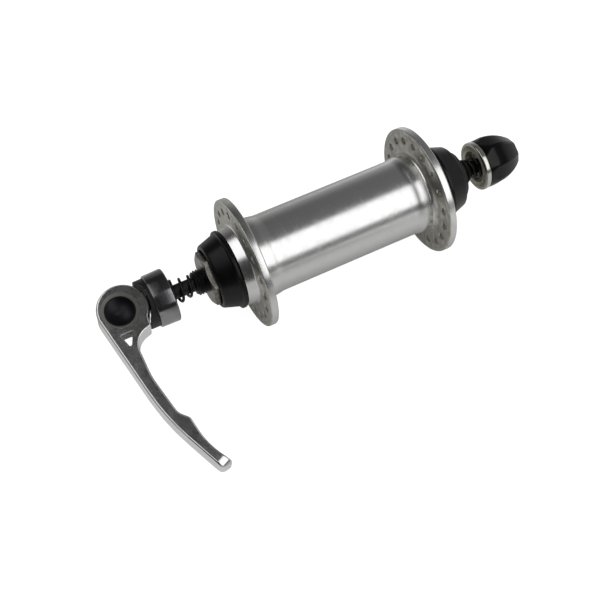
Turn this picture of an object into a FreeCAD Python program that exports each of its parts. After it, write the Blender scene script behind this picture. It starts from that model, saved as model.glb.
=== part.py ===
import FreeCAD, Part
import math
import os
import re
from collections import namedtuple

import Sketcher
from FreeCAD import Placement, Rotation, Vector

# Bicycle front hub with a quick-release skewer, in millimetres.
# The origin is the hub centre, +Y runs along the axle to the lever side, +Z is up
# and +X is forward. The hub lies on its two flanges and on the tip of the closed lever.
# Left is the lever side, right is the side of the adjusting nut.

# name, value, what it measures
SIZES = [
    ("nut_to_nut", 100, "over the two locknuts, the width between the dropouts of a fork"),
    ("axle_dia", 9, "axle thread, outside"),
    ("axle_bore", 5.2, "hole through the axle for the skewer rod"),
    ("axle_stub", 4, "axle that stands out of each locknut"),
    ("end_edge", 0.5, "chamfer on the ends of the axle and rod"),
    ("barrel_dia", 28, "middle of the hub shell"),
    ("neck_dia", 29, "thicker neck beside each flange"),
    ("neck_len", 6.7, "length of the neck, with its shoulder"),
    ("neck_shoulder", 2.0, "length of the slope from barrel to neck"),
    ("flange_dia", 46.8, "outside of the flanges"),
    ("flange_thick", 2.8, "thickness of the flanges"),
    ("flange_gap", 66.2, "between the inner faces of the flanges"),
    ("rim_round", 0.45, "rounding of the flange rim"),
    ("root_round", 1.7, "hollow where the neck meets the flange"),
    ("cove_round", 2.0, "hollow where the collar meets the flange"),
    ("collar_dia", 27.4, "collar outside each flange"),
    ("collar_len", 3.9, "from the flange to the end of the shell"),
    ("collar_wall", 1.3, "wall of the collar round the dust cap pressed into it"),
    ("collar_edge", 0.5, "chamfer on the end of the collar"),
    ("shell_bore", 19, "hole through the middle of the shell"),
    ("spoke_count", 18, "spoke holes in one flange"),
    ("spoke_circle", 38.4, "pitch circle of the spoke holes"),
    ("spoke_hole", 2.6, "diameter of a spoke hole"),
    ("first_hole_angle", 8, "angle of the first hole of the left flange"),
    ("ball_dia", 4.7625, "bearing balls, 3/16 inch"),
    ("ball_count", 10, "balls in one bearing"),
    ("ball_circle", 16, "pitch circle of the balls"),
    ("ball_place", 33, "from the hub centre to the plane of the balls"),
    ("race_gap", 0.05, "between the balls and their races"),
    ("cup_wall", 1.07, "wall of the bearing cup outside its race"),
    ("cup_floor", 4.0, "from the plane of the balls to the inner end of the cup"),
    ("cup_mouth", 3.4, "from the plane of the balls to the outer end of the cup"),
    ("cup_race_angle", 80, "angle of the race in the cup"),
    ("cone_dia", 15.2, "cone outside its race"),
    ("cone_nose", 1.1, "from the plane of the balls to the inner end of the cone"),
    ("cone_race_angle", 70, "angle of the race on the cone"),
    ("cone_flats", 13, "across the wrench flats of the cone"),
    ("cone_flat_len", 2.4, "length of the wrench flats of the cone"),
    ("washer_dia", 14.8, "lock washer"),
    ("washer_thick", 1.5, "thickness of the lock washer"),
    ("nut_flats", 17, "across the flats of the locknut"),
    ("nut_thick", 4, "thickness of the locknut"),
    ("nut_bevel", 0.8, "height of the bevel on the locknut's outer face"),
    ("nut_flat_angle", 3, "angle of a flat of the locknut"),
    ("cap_thick", 0.8, "sheet of the dust cap's disc"),
    ("cap_skirt", 2.0, "depth of the dust cap's skirt"),
    ("cap_skirt_wall", 0.5, "sheet of the dust cap's skirt"),
    ("cap_inset", 0.9, "from the end of the shell in to the dust cap"),
    ("cap_gap", 0.4, "between dust cap and cone"),
    ("boot_gap", 0.3, "between the shell and the rubber boot"),
    ("boot_lip_dia", 28.3, "lip of the rubber boot"),
    ("boot_lip_len", 1.4, "length of the lip"),
    ("boot_neck_dia", 26.6, "boot beside its lip"),
    ("boot_end_dia", 22.3, "outer end of the boot"),
    ("boot_len", 7.8, "length of the boot"),
    ("boot_round", 0.9, "rounding of the boot's outer edge"),
    ("boot_wall", 1.6, "rubber at the boot's lip"),
    ("boot_hollow", 2.4, "depth of the hollow behind the lip"),
    ("boot_pocket_dia", 20.2, "pocket in the boot round the locknut"),
    ("rod_dia", 5, "skewer rod"),
    ("rod_gap", 0.1, "between the rod and the holes that it runs in"),
    ("rod_nut_end", 68, "from the hub centre to the rod's end in the nut"),
    ("rod_pin_end", 3.8, "from the pin's axis to the rod's end"),
    ("tilt_angle", 17.7, "angle at which the closed lever slopes down to its tip"),
    ("pin_place", 80.65, "from the hub centre to the axis of the cam pin"),
    ("pin_dia", 10.5, "cam pin"),
    ("pin_len", 7.6, "length of the cam pin"),
    ("pin_dish", 0.9, "depth of the dished ends of the pin"),
    ("pin_gap", 0.05, "between the pin and its bore in the lever"),
    ("cam_throw", 1.0, "from the pin's axis to the centre of the lever's drum"),
    ("drum_dia", 17.6, "round head of the lever, the cam"),
    ("near_join_angle", 50, "angle from the arm to where its hub side meets the drum"),
    ("far_join_angle", 81, "angle from the arm to where its far side meets the drum"),
    ("lever_reach", 62.3, "from the pin's axis along the lever to its tip"),
    ("lever_thick", 9.5, "thickness of the lever along the pin"),
    ("lever_bevel", 0.7, "bevel round the lever's faces"),
    ("bore_bevel", 1.0, "bevel at the mouths of the pin's bore"),
    ("open_angle", 165, "angle from closed to open"),
    ("slot_width", 5.6, "slot in the drum for the rod"),
    ("slot_side", 0.3, "between the rod and the ends of the slot"),
    ("saddle_dia", 17.2, "plastic saddle under the cam"),
    ("saddle_rim", 7.8, "from the pin's axis to the saddle's rim"),
    ("saddle_groove", 12, "radius of the saddle's groove"),
    ("saddle_gap", 0.35, "between the saddle's groove and the closed cam"),
    ("cup_place", 62.6, "from the hub centre to the clamping cup's face"),
    ("clamp_dia", 18.9, "clamping cup"),
    ("clamp_back_dia", 18.6, "clamping cup at its back"),
    ("clamp_len", 7.0, "length of the clamping cup"),
    ("clamp_round", 0.8, "rounding of the cup's front edge"),
    ("clamp_edge", 0.3, "chamfer of the cup's back edge"),
    ("clamp_cavity_dia", 14.4, "hollow in the cup for the spring"),
    ("clamp_cavity", 4.4, "depth of that hollow"),
    ("saddle_seat", 1.2, "depth of the seat for the saddle in the cup"),
    ("seat_gap", 0.05, "between the saddle and its seat"),
    ("wire_dia", 1.0, "wire of the springs"),
    ("coil_small", 3.35, "wire centre's radius at the axle end of a spring"),
    ("coil_large_left", 6.2, "wire centre's radius at the left spring's other end"),
    ("coil_large_right", 4.4, "wire centre's radius at the right spring's other end"),
    ("coil_gap", 0.1, "between a spring's ends and their seats"),
    ("coil_turns_left", 3.75, "turns of the left spring"),
    ("coil_turns_right", 2.5, "turns of the right spring"),
    ("knob_place", 57.5, "from the hub centre to the adjusting nut's face"),
    ("knob_face_dia", 18.1, "steel face of the adjusting nut"),
    ("knob_face_len", 1.9, "thickness of the steel face"),
    ("knob_face_round", 0.4, "rounding of the steel face's edge"),
    ("knob_recess_dia", 12, "recess in the face for the spring"),
    ("knob_recess", 3.3, "depth of the recess"),
    ("knob_core_dia", 13.6, "steel core inside the plastic grip"),
    ("knob_core_end", 12, "from the nut's face to the end of the core"),
    ("grip_dia", 18.6, "plastic grip at its widest"),
    ("grip_base_dia", 17.8, "plastic grip beside the steel face"),
    ("grip_wide", 5.1, "from the nut's face to the grip's widest place"),
    ("grip_end_dia", 10.0, "flat end of the grip"),
    ("grip_len", 16.1, "from the nut's face to the end of the grip"),
    ("grip_round", 17, "radius of the grip's domed side"),
    ("grip_hollow", 13.6, "from the nut's face to the floor of the grip's hole"),
    ("grip_flats", 8, "finger flats round the grip"),
    ("grip_flat_across", 17.7, "across two opposite finger flats"),
    ("grip_flat_angle", 31, "angle of a finger flat"),
]

doc = FreeCAD.newDocument("front_hub")
sheet = doc.addObject("Spreadsheet::Sheet", "Sizes")
for row, (alias, number, meaning) in enumerate(SIZES, start=1):
    sheet.set(f"A{row}", alias)
    sheet.set(f"B{row}", str(number))
    sheet.set(f"C{row}", meaning)
    sheet.setAlias(f"B{row}", alias)
doc.recompute()

ALIAS = re.compile(r"\b[a-z]+(?:_[a-z]+)+\b")

# Stations along the axle, measured out from the hub centre
FLANGE_IN = "flange_gap / 2"
FLANGE_OUT = "(flange_gap / 2 + flange_thick)"
SHELL_END = "(flange_gap / 2 + flange_thick + collar_len)"
CUP_START = "(ball_place - cup_floor)"
CAP = "(collar_dia / 2 - collar_wall)"
CAP_START = f"({SHELL_END} - cap_inset - cap_skirt)"
CAP_END = f"({SHELL_END} - cap_inset)"
NUT_OUT = "nut_to_nut / 2"
NUT_IN = "(nut_to_nut / 2 - nut_thick)"
CONE_END = "(nut_to_nut / 2 - nut_thick - washer_thick)"
BOOT_START = f"({SHELL_END} + boot_gap)"
BOOT_END = f"({SHELL_END} + boot_gap + boot_len)"
AXLE_END = "(nut_to_nut / 2 + axle_stub)"
DRUM_PLACE = "(pin_place - cam_throw)"
CLAMP_BACK = "(cup_place + clamp_len)"
CAVITY_FLOOR = "(cup_place + clamp_cavity)"
RECESS_FLOOR = "(knob_place + knob_recess)"
RACE = "(ball_dia / 2 + race_gap)"
CUP = "(ball_circle / 2 + ball_dia / 2 + race_gap + cup_wall)"
SIDES = {"left": 1, "right": -1}
Coil = namedtuple("Coil", "side start length turns large")


def formula(text):
    """The text with each size's name pointing into the sheet."""
    return ALIAS.sub(lambda match: "Sizes." + match.group(), str(text))


def value(text):
    """The number that a formula of sizes gives now."""
    result = sheet.evalExpression(formula(text))
    return float(getattr(result, "Value", result))


def bind(thing, path, text):
    """Ties one property of a document object to a formula of sizes."""
    thing.setExpression(path, formula(text))


def new_body(name):
    """An empty body whose label is the node's name."""
    body = doc.addObject("PartDesign::Body", name)
    body.Label = name
    return body


def new_sketch(body, name, role="XY_Plane"):
    """A sketch on one of the body's own origin planes."""
    sketch = body.newObject("Sketcher::SketchObject", name)
    plane = next(item for item in body.Origin.OriginFeatures if item.Role == role)
    sketch.AttachmentSupport = (plane, [""])
    sketch.MapMode = "FlatFace"
    return sketch


def pin_point(sketch, edge, end, x, y, label):
    """Fixes one point of a sketch by two formulas measured from the sketch's origin."""
    for kind, text in (("DistanceX", x), ("DistanceY", y)):
        index = sketch.addConstraint(Sketcher.Constraint(kind, -1, 1, edge, end, value(text)))
        sketch.renameConstraint(index, f"{label}{kind[-1]}")
        bind(sketch, f"Constraints.{label}{kind[-1]}", text)


def arc_about(centre, first, last):
    """The arc about a centre that runs counter-clockwise from one point to another."""
    angles = [math.atan2(point.y - centre.y, point.x - centre.x) for point in (first, last)]
    if angles[1] < angles[0]:
        angles[1] += 2 * math.pi
    circle = Part.Circle(centre, Vector(0, 0, 1), (first - centre).Length)
    return Part.ArcOfCircle(circle, *angles)


def bent_edge(start, finish, radius):
    """An arc between two points. A positive radius bulges to the right of the way it runs."""
    chord = finish - start
    half = chord.Length / 2
    side = Vector(chord.y, -chord.x, 0).normalize() * math.copysign(1, radius)
    centre = (start + finish) / 2 - side * math.sqrt(radius * radius - half * half)
    return arc_about(centre, start, finish) if radius > 0 else arc_about(centre, finish, start)


def bind_radius(sketch, edge, text, label):
    """Fixes the radius of an arc or circle by a formula."""
    row = sketch.addConstraint(Sketcher.Constraint("Radius", edge, value(text)))
    sketch.renameConstraint(row, f"{label}{edge}")
    bind(sketch, f"Constraints.{label}{edge}", text)


def draw_outline(sketch, corners):
    """A closed outline. A corner is (x, y), (x, y, bend) or (x, y, None, round). The bend is the
    radius formula and the side of the arc that leaves the corner, the round is the radius
    formula of a corner between two straight edges."""
    places = [Vector(value(corner[0]), value(corner[1]), 0) for corner in corners]
    base = sketch.GeometryCount
    starts = []
    ends = []
    for index, corner in enumerate(corners):
        start, finish = places[index], places[(index + 1) % len(corners)]
        bend = corner[2] if len(corner) > 2 else None
        if bend is None:
            sketch.addGeometry(Part.LineSegment(start, finish), False)
            order = (1, 2)
        else:
            sketch.addGeometry(bent_edge(start, finish, value(bend[0]) * bend[1]), False)
            order = (1, 2) if bend[1] > 0 else (2, 1)
        starts.append(order[0])
        ends.append(order[1])
    for index, corner in enumerate(corners):
        edge = base + index
        after = (index + 1) % len(corners)
        sketch.addConstraint(
            Sketcher.Constraint("Coincident", edge, ends[index], base + after, starts[after])
        )
        pin_point(sketch, edge, starts[index], corner[0], corner[1], f"corner{edge}")
        if len(corner) > 2 and corner[2] is not None:
            bind_radius(sketch, edge, corner[2][0], "bend")
    for index, corner in enumerate(corners):
        if len(corner) > 3:
            sketch.fillet(base + index, 1, value(corner[3]), True, True)
            bind_radius(sketch, sketch.GeometryCount - 2, corner[3], "round")


def draw_circle(sketch, x, y, radius):
    """A circle, its centre and radius given by formulas."""
    place = Vector(value(x), value(y), 0)
    edge = sketch.addGeometry(Part.Circle(place, Vector(0, 0, 1), value(radius)), False)
    pin_point(sketch, edge, 3, x, y, f"centre{edge}")
    row = sketch.addConstraint(Sketcher.Constraint("Radius", edge, value(radius)))
    sketch.renameConstraint(row, f"radius{edge}")
    bind(sketch, f"Constraints.radius{edge}", radius)


def on_side(side, corners):
    """The outline of a piece on one side: stations are turned to that side of the hub."""
    return [(corner[0], f"{side} * ({corner[1]})", *flip(corner[2:], side)) for corner in corners]


def flip(bends, side):
    """Arcs bulge to the other hand in a mirrored outline."""
    return [None if bend is None else (bend[0], bend[1] * side) for bend in bends]


def both_sides(corners):
    """An outline from one half of it: the given half, and its mirror image run backwards."""
    back = []
    for index in reversed(range(len(corners))):
        before = corners[index - 1] if index else ()
        bend = before[2] if len(before) > 2 else None
        back.append((corners[index][0], f"-({corners[index][1]})", bend))
    return list(corners) + back


def turned(body, corners, name="turning"):
    """A solid turned about the axle from an outline of (radius, station) corners."""
    sketch = new_sketch(body, f"{body.Name}_{name}_outline")
    draw_outline(sketch, corners)
    turning = body.newObject("PartDesign::Revolution", f"{body.Name}_{name}")
    turning.Profile = sketch
    turning.ReferenceAxis = (sketch, ["V_Axis"])
    turning.Angle = 360
    doc.recompute()
    return turning


def grooved(body, corners, name):
    """Cuts a ring about the axle from the body."""
    before = body.Shape.Volume
    sketch = new_sketch(body, f"{body.Name}_{name}_outline")
    draw_outline(sketch, corners)
    groove = body.newObject("PartDesign::Groove", f"{body.Name}_{name}")
    groove.Profile = sketch
    groove.ReferenceAxis = (sketch, ["V_Axis"])
    groove.Angle = 360
    doc.recompute()
    check_cut(body, before, name)
    return groove


def check_cut(body, before, name):
    """Stops the build when a cut took nothing away."""
    if body.Shape.Volume > before - 1e-6:
        raise RuntimeError(f"{body.Label}: {name} cut nothing")


def cut_through(body, sketch, depth, name):
    """A pocket from a sketch, cut to both sides of its plane over the whole depth."""
    before = body.Shape.Volume
    pocket = body.newObject("PartDesign::Pocket", f"{body.Name}_{name}")
    pocket.Profile = sketch
    pocket.Midplane = True
    bind(pocket, "Length", depth)
    doc.recompute()
    check_cut(body, before, name)
    return pocket


def pad_both_ways(body, sketch, depth, name):
    """A pad from a sketch, half of its depth to each side of the sketch's plane."""
    pad = body.newObject("PartDesign::Pad", f"{body.Name}_{name}")
    pad.Profile = sketch
    pad.Midplane = True
    bind(pad, "Length", depth)
    doc.recompute()
    return pad


def repeat_round(body, feature, sketch, axis, count):
    """Repeats a cut round an axis."""
    pattern = body.newObject("PartDesign::PolarPattern", f"{feature.Name}_ring")
    pattern.Originals = [feature]
    pattern.Axis = (sketch, [axis])
    pattern.Angle = 360
    bind(pattern, "Occurrences", count)
    body.Tip = pattern
    doc.recompute()
    return pattern


def tilt_with_lever(thing):
    """Turns a piece of the skewer about the axle so that it lies as the closed lever does."""
    thing.Placement = Placement(Vector(0, 0, 0), Rotation(Vector(0, -1, 0), value("tilt_angle")))
    bind(thing, "Placement.Rotation.Angle", "tilt_angle")


# Hub shell: barrel, necks, flanges, collars and the seats of cups and dust caps
def build_shell():
    body = new_body("hub_shell")
    neck_start = "(flange_gap / 2 - neck_len)"
    half = [
        ("barrel_dia / 2", f"{neck_start}"),
        ("neck_dia / 2", f"{neck_start} + neck_shoulder"),
        ("neck_dia / 2", f"{FLANGE_IN} - root_round", ("root_round", -1)),
        ("neck_dia / 2 + root_round", FLANGE_IN),
        ("flange_dia / 2 - rim_round", FLANGE_IN, ("rim_round", 1)),
        ("flange_dia / 2", f"{FLANGE_IN} + rim_round"),
        ("flange_dia / 2", f"{FLANGE_OUT} - rim_round", ("rim_round", 1)),
        ("flange_dia / 2 - rim_round", FLANGE_OUT),
        ("collar_dia / 2 + cove_round", FLANGE_OUT, ("cove_round", -1)),
        ("collar_dia / 2", f"{FLANGE_OUT} + cove_round"),
        ("collar_dia / 2", f"{SHELL_END} - collar_edge"),
        ("collar_dia / 2 - collar_edge", SHELL_END),
        (CAP, SHELL_END),
        (CAP, CAP_START),
        (CUP, CAP_START),
        (CUP, CUP_START),
        ("shell_bore / 2", CUP_START),
    ]
    turned(body, both_sides(half))
    for name, side in SIDES.items():
        drill_spoke_holes(body, name, side)
    return body


def drill_spoke_holes(body, name, side):
    """One flange's ring of spoke holes. The right ring is turned by half a space, so that the
    holes of the two flanges are staggered."""
    sketch = new_sketch(body, f"spoke_hole_{name}_outline")
    stagger = "0" if side > 0 else "180 / spoke_count"
    turn = f"first_hole_angle + {stagger}"
    sketch.AttachmentOffset = Placement(Vector(0, 0, 0), Rotation(Vector(0, -1, 0), value(turn)))
    bind(sketch, "AttachmentOffset.Rotation.Angle", turn)
    centre = "spoke_circle / 2"
    hole = "spoke_hole / 2"
    outline = [
        (centre, FLANGE_IN),
        (f"{centre} + {hole}", FLANGE_IN),
        (f"{centre} + {hole}", FLANGE_OUT),
        (centre, FLANGE_OUT),
    ]
    draw_outline(sketch, on_side(side, outline))
    axis = sketch.addGeometry(
        Part.LineSegment(Vector(value(centre), 0, 0),
                         Vector(value(centre), value("flange_thick"), 0)), True
    )
    sketch.addConstraint(Sketcher.Constraint("Vertical", axis))
    pin_point(sketch, axis, 1, centre, "0", "hole_axis_start")
    length = Sketcher.Constraint("DistanceY", axis, 1, axis, 2, value("flange_thick"))
    sketch.renameConstraint(sketch.addConstraint(length), "hole_axis_length")
    bind(sketch, "Constraints.hole_axis_length", "flange_thick")
    before = body.Shape.Volume
    hole_cut = body.newObject("PartDesign::Groove", f"spoke_hole_{name}")
    hole_cut.Profile = sketch
    hole_cut.ReferenceAxis = (sketch, ["Axis0"])
    hole_cut.Angle = 360
    doc.recompute()
    check_cut(body, before, f"spoke hole {name}")
    repeat_round(body, hole_cut, sketch, "V_Axis", "spoke_count")


# Bearings: pressed cup, balls and the cone that closes on them
def build_cup(name, side):
    lip = f"ball_circle / 2 + {RACE} * cos(1deg * cup_race_angle)"
    outline = [
        (lip, CUP_START),
        (CUP, CUP_START),
        (CUP, "ball_place + cup_mouth"),
        (f"ball_circle / 2 + {RACE}", "ball_place + cup_mouth"),
        (f"ball_circle / 2 + {RACE}", "ball_place", (RACE, -1)),
        (lip, f"ball_place - {RACE} * sin(1deg * cup_race_angle)"),
    ]
    body = new_body(f"bearing_cup_{name}")
    turned(body, on_side(side, outline))
    return body


def build_balls(name, side):
    """The loose balls of one bearing, evenly spaced round the axle."""
    radius = value("ball_dia / 2")
    circle = value("ball_circle / 2")
    station = side * value("ball_place")
    count = int(value("ball_count"))
    balls = []
    for index in range(count):
        angle = 2 * math.pi * index / count
        centre = Vector(circle * math.cos(angle), station, circle * math.sin(angle))
        balls.append(Part.makeSphere(radius, centre))
    node = doc.addObject("Part::Feature", f"bearing_balls_{name}")
    node.Label = f"bearing_balls_{name}"
    node.Shape = Part.makeCompound(balls)
    return node


def build_cone(name, side):
    nose = f"ball_circle / 2 - {RACE}"
    outline = [
        ("axle_dia / 2", "ball_place - cone_nose"),
        (nose, "ball_place - cone_nose"),
        (nose, "ball_place", (RACE, -1)),
        (f"ball_circle / 2 - {RACE} * cos(1deg * cone_race_angle)",
         f"ball_place + {RACE} * sin(1deg * cone_race_angle)"),
        ("cone_dia / 2", f"ball_place + {RACE} * sin(1deg * cone_race_angle)"),
        ("cone_dia / 2", CONE_END),
        ("axle_dia / 2", CONE_END),
    ]
    body = new_body(f"cone_{name}")
    turned(body, on_side(side, outline))
    for hand in (1, -1):
        sketch = new_sketch(body, f"cone_flat_{name}_{'top' if hand > 0 else 'bottom'}")
        flat = [
            (f"{hand} * cone_flats / 2", f"{CONE_END} - cone_flat_len"),
            (f"{hand} * cone_dia", f"{CONE_END} - cone_flat_len"),
            (f"{hand} * cone_dia", f"{CONE_END} + cone_flat_len"),
            (f"{hand} * cone_flats / 2", f"{CONE_END} + cone_flat_len"),
        ]
        draw_outline(sketch, on_side(side, flat))
        cut_through(body, sketch, "2 * cone_dia", f"flat_{'top' if hand > 0 else 'bottom'}")
    return body


def build_dust_cap(name, side):
    hole = "cone_dia / 2 + cap_gap"
    outline = [
        (hole, f"{CAP_END} - cap_thick"),
        (f"{CAP} - cap_skirt_wall", f"{CAP_END} - cap_thick"),
        (f"{CAP} - cap_skirt_wall", CAP_START),
        (CAP, CAP_START),
        (CAP, CAP_END),
        (hole, CAP_END),
    ]
    body = new_body(f"dust_cap_{name}")
    turned(body, on_side(side, outline))
    return body


# Fixed pieces on the axle, outside each cone
def build_boot(name, side):
    end_round_station = f"{BOOT_END} - boot_round"
    slope_start = f"{BOOT_START} + boot_lip_len"
    outline = [
        ("cone_dia / 2", f"{BOOT_START} + boot_hollow"),
        ("boot_lip_dia / 2 - boot_wall", f"{BOOT_START} + boot_hollow / 2"),
        ("boot_lip_dia / 2 - boot_wall", BOOT_START),
        ("boot_lip_dia / 2", BOOT_START),
        ("boot_lip_dia / 2", slope_start),
        ("boot_neck_dia / 2", f"{slope_start} + 0.2 * boot_round"),
        ("boot_end_dia / 2 + 0.3 * boot_round", end_round_station, ("1.2 * boot_round", 1)),
        ("boot_end_dia / 2 - 0.6 * boot_round", BOOT_END),
        ("boot_pocket_dia / 2", BOOT_END),
        ("boot_pocket_dia / 2", NUT_IN),
        ("cone_dia / 2", NUT_IN),
    ]
    body = new_body(f"rubber_boot_{name}")
    turned(body, on_side(side, outline))
    return body


def build_washer(name, side):
    outline = [
        ("axle_dia / 2", CONE_END),
        ("washer_dia / 2", CONE_END),
        ("washer_dia / 2", NUT_IN),
        ("axle_dia / 2", NUT_IN),
    ]
    body = new_body(f"lock_washer_{name}")
    turned(body, on_side(side, outline))
    return body


def build_locknut(name, side):
    """Hexagon nut: a hexagonal prism on the axle with a bevelled outer face."""
    body = new_body(f"locknut_{name}")
    sketch = new_sketch(body, f"locknut_{name}_hexagon", "XZ_Plane")
    offset = f"{-side} * ({NUT_IN} + nut_thick / 2)"
    sketch.AttachmentOffset.Base = Vector(0, 0, value(offset))
    bind(sketch, "AttachmentOffset.Base.z", offset)
    corner = "nut_flats / 2 / cos(30deg)"
    hexagon = []
    for index in range(6):
        angle = f"1deg * (nut_flat_angle + {30 + 60 * index})"
        hexagon.append((f"{corner} * cos({angle})", f"{corner} * sin({angle})"))
    draw_outline(sketch, hexagon)
    draw_circle(sketch, "0", "0", "axle_dia / 2")
    pad_both_ways(body, sketch, "nut_thick", "prism")
    bevel = [
        ("nut_flats / 2 - nut_bevel / 4", f"{NUT_OUT} + nut_bevel / 4"),
        ("nut_flats / 2 + 2 * nut_bevel", f"{NUT_OUT} - nut_bevel"),
        ("nut_flats / 2 + 2 * nut_bevel", f"{NUT_OUT} + nut_bevel / 4"),
    ]
    grooved(body, on_side(side, bevel), "bevel")
    return body


def build_axle():
    half = [
        ("axle_dia / 2", f"{AXLE_END} - end_edge"),
        ("axle_dia / 2 - end_edge", AXLE_END),
        ("axle_bore / 2", AXLE_END),
    ]
    body = new_body("axle")
    turned(body, both_sides(half))
    return body


# Skewer: rod, cam pin, lever, saddle, clamping cup, springs and adjusting nut
def build_rod():
    pin_end = "(pin_place + rod_pin_end)"
    outline = [
        ("0", "-rod_nut_end"),
        ("rod_dia / 2 - end_edge", "-rod_nut_end"),
        ("rod_dia / 2", "-(rod_nut_end - end_edge)"),
        ("rod_dia / 2", f"{pin_end} - end_edge"),
        ("rod_dia / 2 - end_edge", pin_end),
        ("0", pin_end),
    ]
    body = new_body("skewer_rod")
    turned(body, outline)
    return body


def build_cam_pin():
    """Cross pin with dished ends, threaded for the rod."""
    body = new_body("cam_pin")
    sketch = new_sketch(body, "cam_pin_circle")
    draw_circle(sketch, "0", "pin_place", "pin_dia / 2")
    pad_both_ways(body, sketch, "pin_len", "bar")
    hole = new_sketch(body, "cam_pin_thread", "XZ_Plane")
    draw_circle(hole, "0", "0", "rod_dia / 2")
    before = body.Shape.Volume
    pocket = body.newObject("PartDesign::Pocket", "cam_pin_rod_hole")
    pocket.Profile = hole
    pocket.Reversed = False
    bind(pocket, "Length", "pin_place + rod_pin_end")
    doc.recompute()
    if body.Shape.Volume > before - 1e-6:
        pocket.Reversed = True
        doc.recompute()
    check_cut(body, before, "rod hole")
    dish_pin_ends(body)
    tilt_with_lever(body)
    return body


def dish_pin_ends(body):
    """Hollows both ends of the pin by a shallow cut turned about the pin's own axis."""
    rim = "(pin_dia / 2 - pin_dish / 2)"
    sphere = f"({rim} * {rim} + pin_dish * pin_dish) / (2 * pin_dish)"
    for hand, label in ((1, "near"), (-1, "far")):
        before = body.Shape.Volume
        sketch = new_sketch(body, f"cam_pin_dish_{label}_outline", "YZ_Plane")
        face = f"{hand} * pin_len / 2"
        outline = [
            ("pin_place", face),
            ("pin_place", f"{hand} * (pin_len / 2 - pin_dish)", (sphere, hand)),
            (f"pin_place + {rim}", face),
        ]
        draw_outline(sketch, outline)
        dish = body.newObject("PartDesign::Groove", f"cam_pin_dish_{label}")
        dish.Profile = sketch
        dish.ReferenceAxis = (sketch, ["Edge1"])
        dish.Angle = 360
        doc.recompute()
        check_cut(body, before, f"dish {label}")


# Corners of the lever's arm, measured from the pin's axis: how far along the arm, how far
# towards the hub, and how far the corner is rounded. They grow with the lever's reach.
ARM = [
    (39.2, -1.4, 80),
    (62.3, 8.7, 2),
    (61.6, 13.2, 1.2),
    (53.2, 7.85, 28),
    (42.5, 6.35, 1.8),
    (39.4, 3.4, 4),
    (25.2, 0.6, 25),
    (10.9, 0.65, 6.5),
    (9.1, 7.35, 1),
]

# Corners of the three-sided window beside the drum, measured the same way
WINDOW = [(7.6, -2.9), (13.3, -1.4), (7.6, 1.4)]
REACHED = f"lever_reach / {max(along for along, across, radius in ARM)}"


def build_lever():
    """Forged lever: a drum that is the cam, a curved arm with a finger bump, a window, the bore
    for the pin and the slot that lets the drum turn past the rod."""
    body = new_body("lever")
    outline = new_sketch(body, "lever_side_outline")
    draw_outline(outline, lever_corners())
    pad_both_ways(body, outline, "lever_thick", "blank")
    bevel_faces(body)
    window = new_sketch(body, "lever_window_outline")
    draw_outline(window, [arm_point(along, across) for along, across in WINDOW])
    cut_through(body, window, "2 * lever_thick", "window")
    bore_for_pin(body)
    slot = new_sketch(body, "lever_slot_outline")
    draw_outline(slot, slot_corners())
    cut_through(body, slot, "slot_width", "slot")
    tilt_with_lever(body)
    return body


def arm_point(along, across):
    """A point of the arm or window, in the lever's own plane."""
    return f"{-along} * {REACHED}", f"pin_place - ({across}) * {REACHED}"


def lever_corners():
    """The side view of the lever: round the drum, then out along the arm and back."""
    corners = [
        drum_corner("near_join_angle", -1),
        ("drum_dia / 2", DRUM_PLACE, ("drum_dia / 2", 1)),
        drum_corner("far_join_angle", 1)[:2],
    ]
    for along, across, radius in ARM:
        corners.append((*arm_point(along, across), None, f"{radius} * {REACHED}"))
    return corners


def drum_corner(angle, hand):
    """A corner on the drum's circle, turned from the arm's direction by a sized angle."""
    radius = "drum_dia / 2"
    return (
        f"-{radius} * cos(1deg * {angle})",
        f"{DRUM_PLACE} + {hand} * {radius} * sin(1deg * {angle})",
        (radius, 1),
    )


def bevel_faces(body):
    """Bevels the edges of the lever's two flat faces."""
    half = value("lever_thick / 2")
    edges = []
    for index, edge in enumerate(body.Shape.Edges, start=1):
        box = edge.BoundBox
        if abs(abs(box.ZMin) - half) < 1e-6 and abs(box.ZMax - box.ZMin) < 1e-6:
            edges.append(f"Edge{index}")
    blank = body.Tip
    bevel = body.newObject("PartDesign::Chamfer", "lever_bevel_cut")
    bevel.Base = (blank, edges)
    bind(bevel, "Size", "lever_bevel")
    doc.recompute()


def bore_for_pin(body):
    """The pin's bore with a bevelled mouth at both faces, turned about the pin's axis."""
    before = body.Shape.Volume
    bore = "(pin_dia / 2 + pin_gap)"
    sketch = new_sketch(body, "lever_bore_outline", "YZ_Plane")
    outline = [
        ("pin_place", "-(lever_thick / 2 + bore_bevel)"),
        ("pin_place", "lever_thick / 2 + bore_bevel"),
        (f"pin_place + {bore} + 2 * bore_bevel", "lever_thick / 2 + bore_bevel"),
        (f"pin_place + {bore}", "lever_thick / 2 - bore_bevel"),
        (f"pin_place + {bore}", "-(lever_thick / 2 - bore_bevel)"),
        (f"pin_place + {bore} + 2 * bore_bevel", "-(lever_thick / 2 + bore_bevel)"),
    ]
    draw_outline(sketch, outline)
    cut = body.newObject("PartDesign::Groove", "lever_bore")
    cut.Profile = sketch
    cut.ReferenceAxis = (sketch, ["Edge1"])
    cut.Angle = 360
    doc.recompute()
    check_cut(body, before, "bore")


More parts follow.
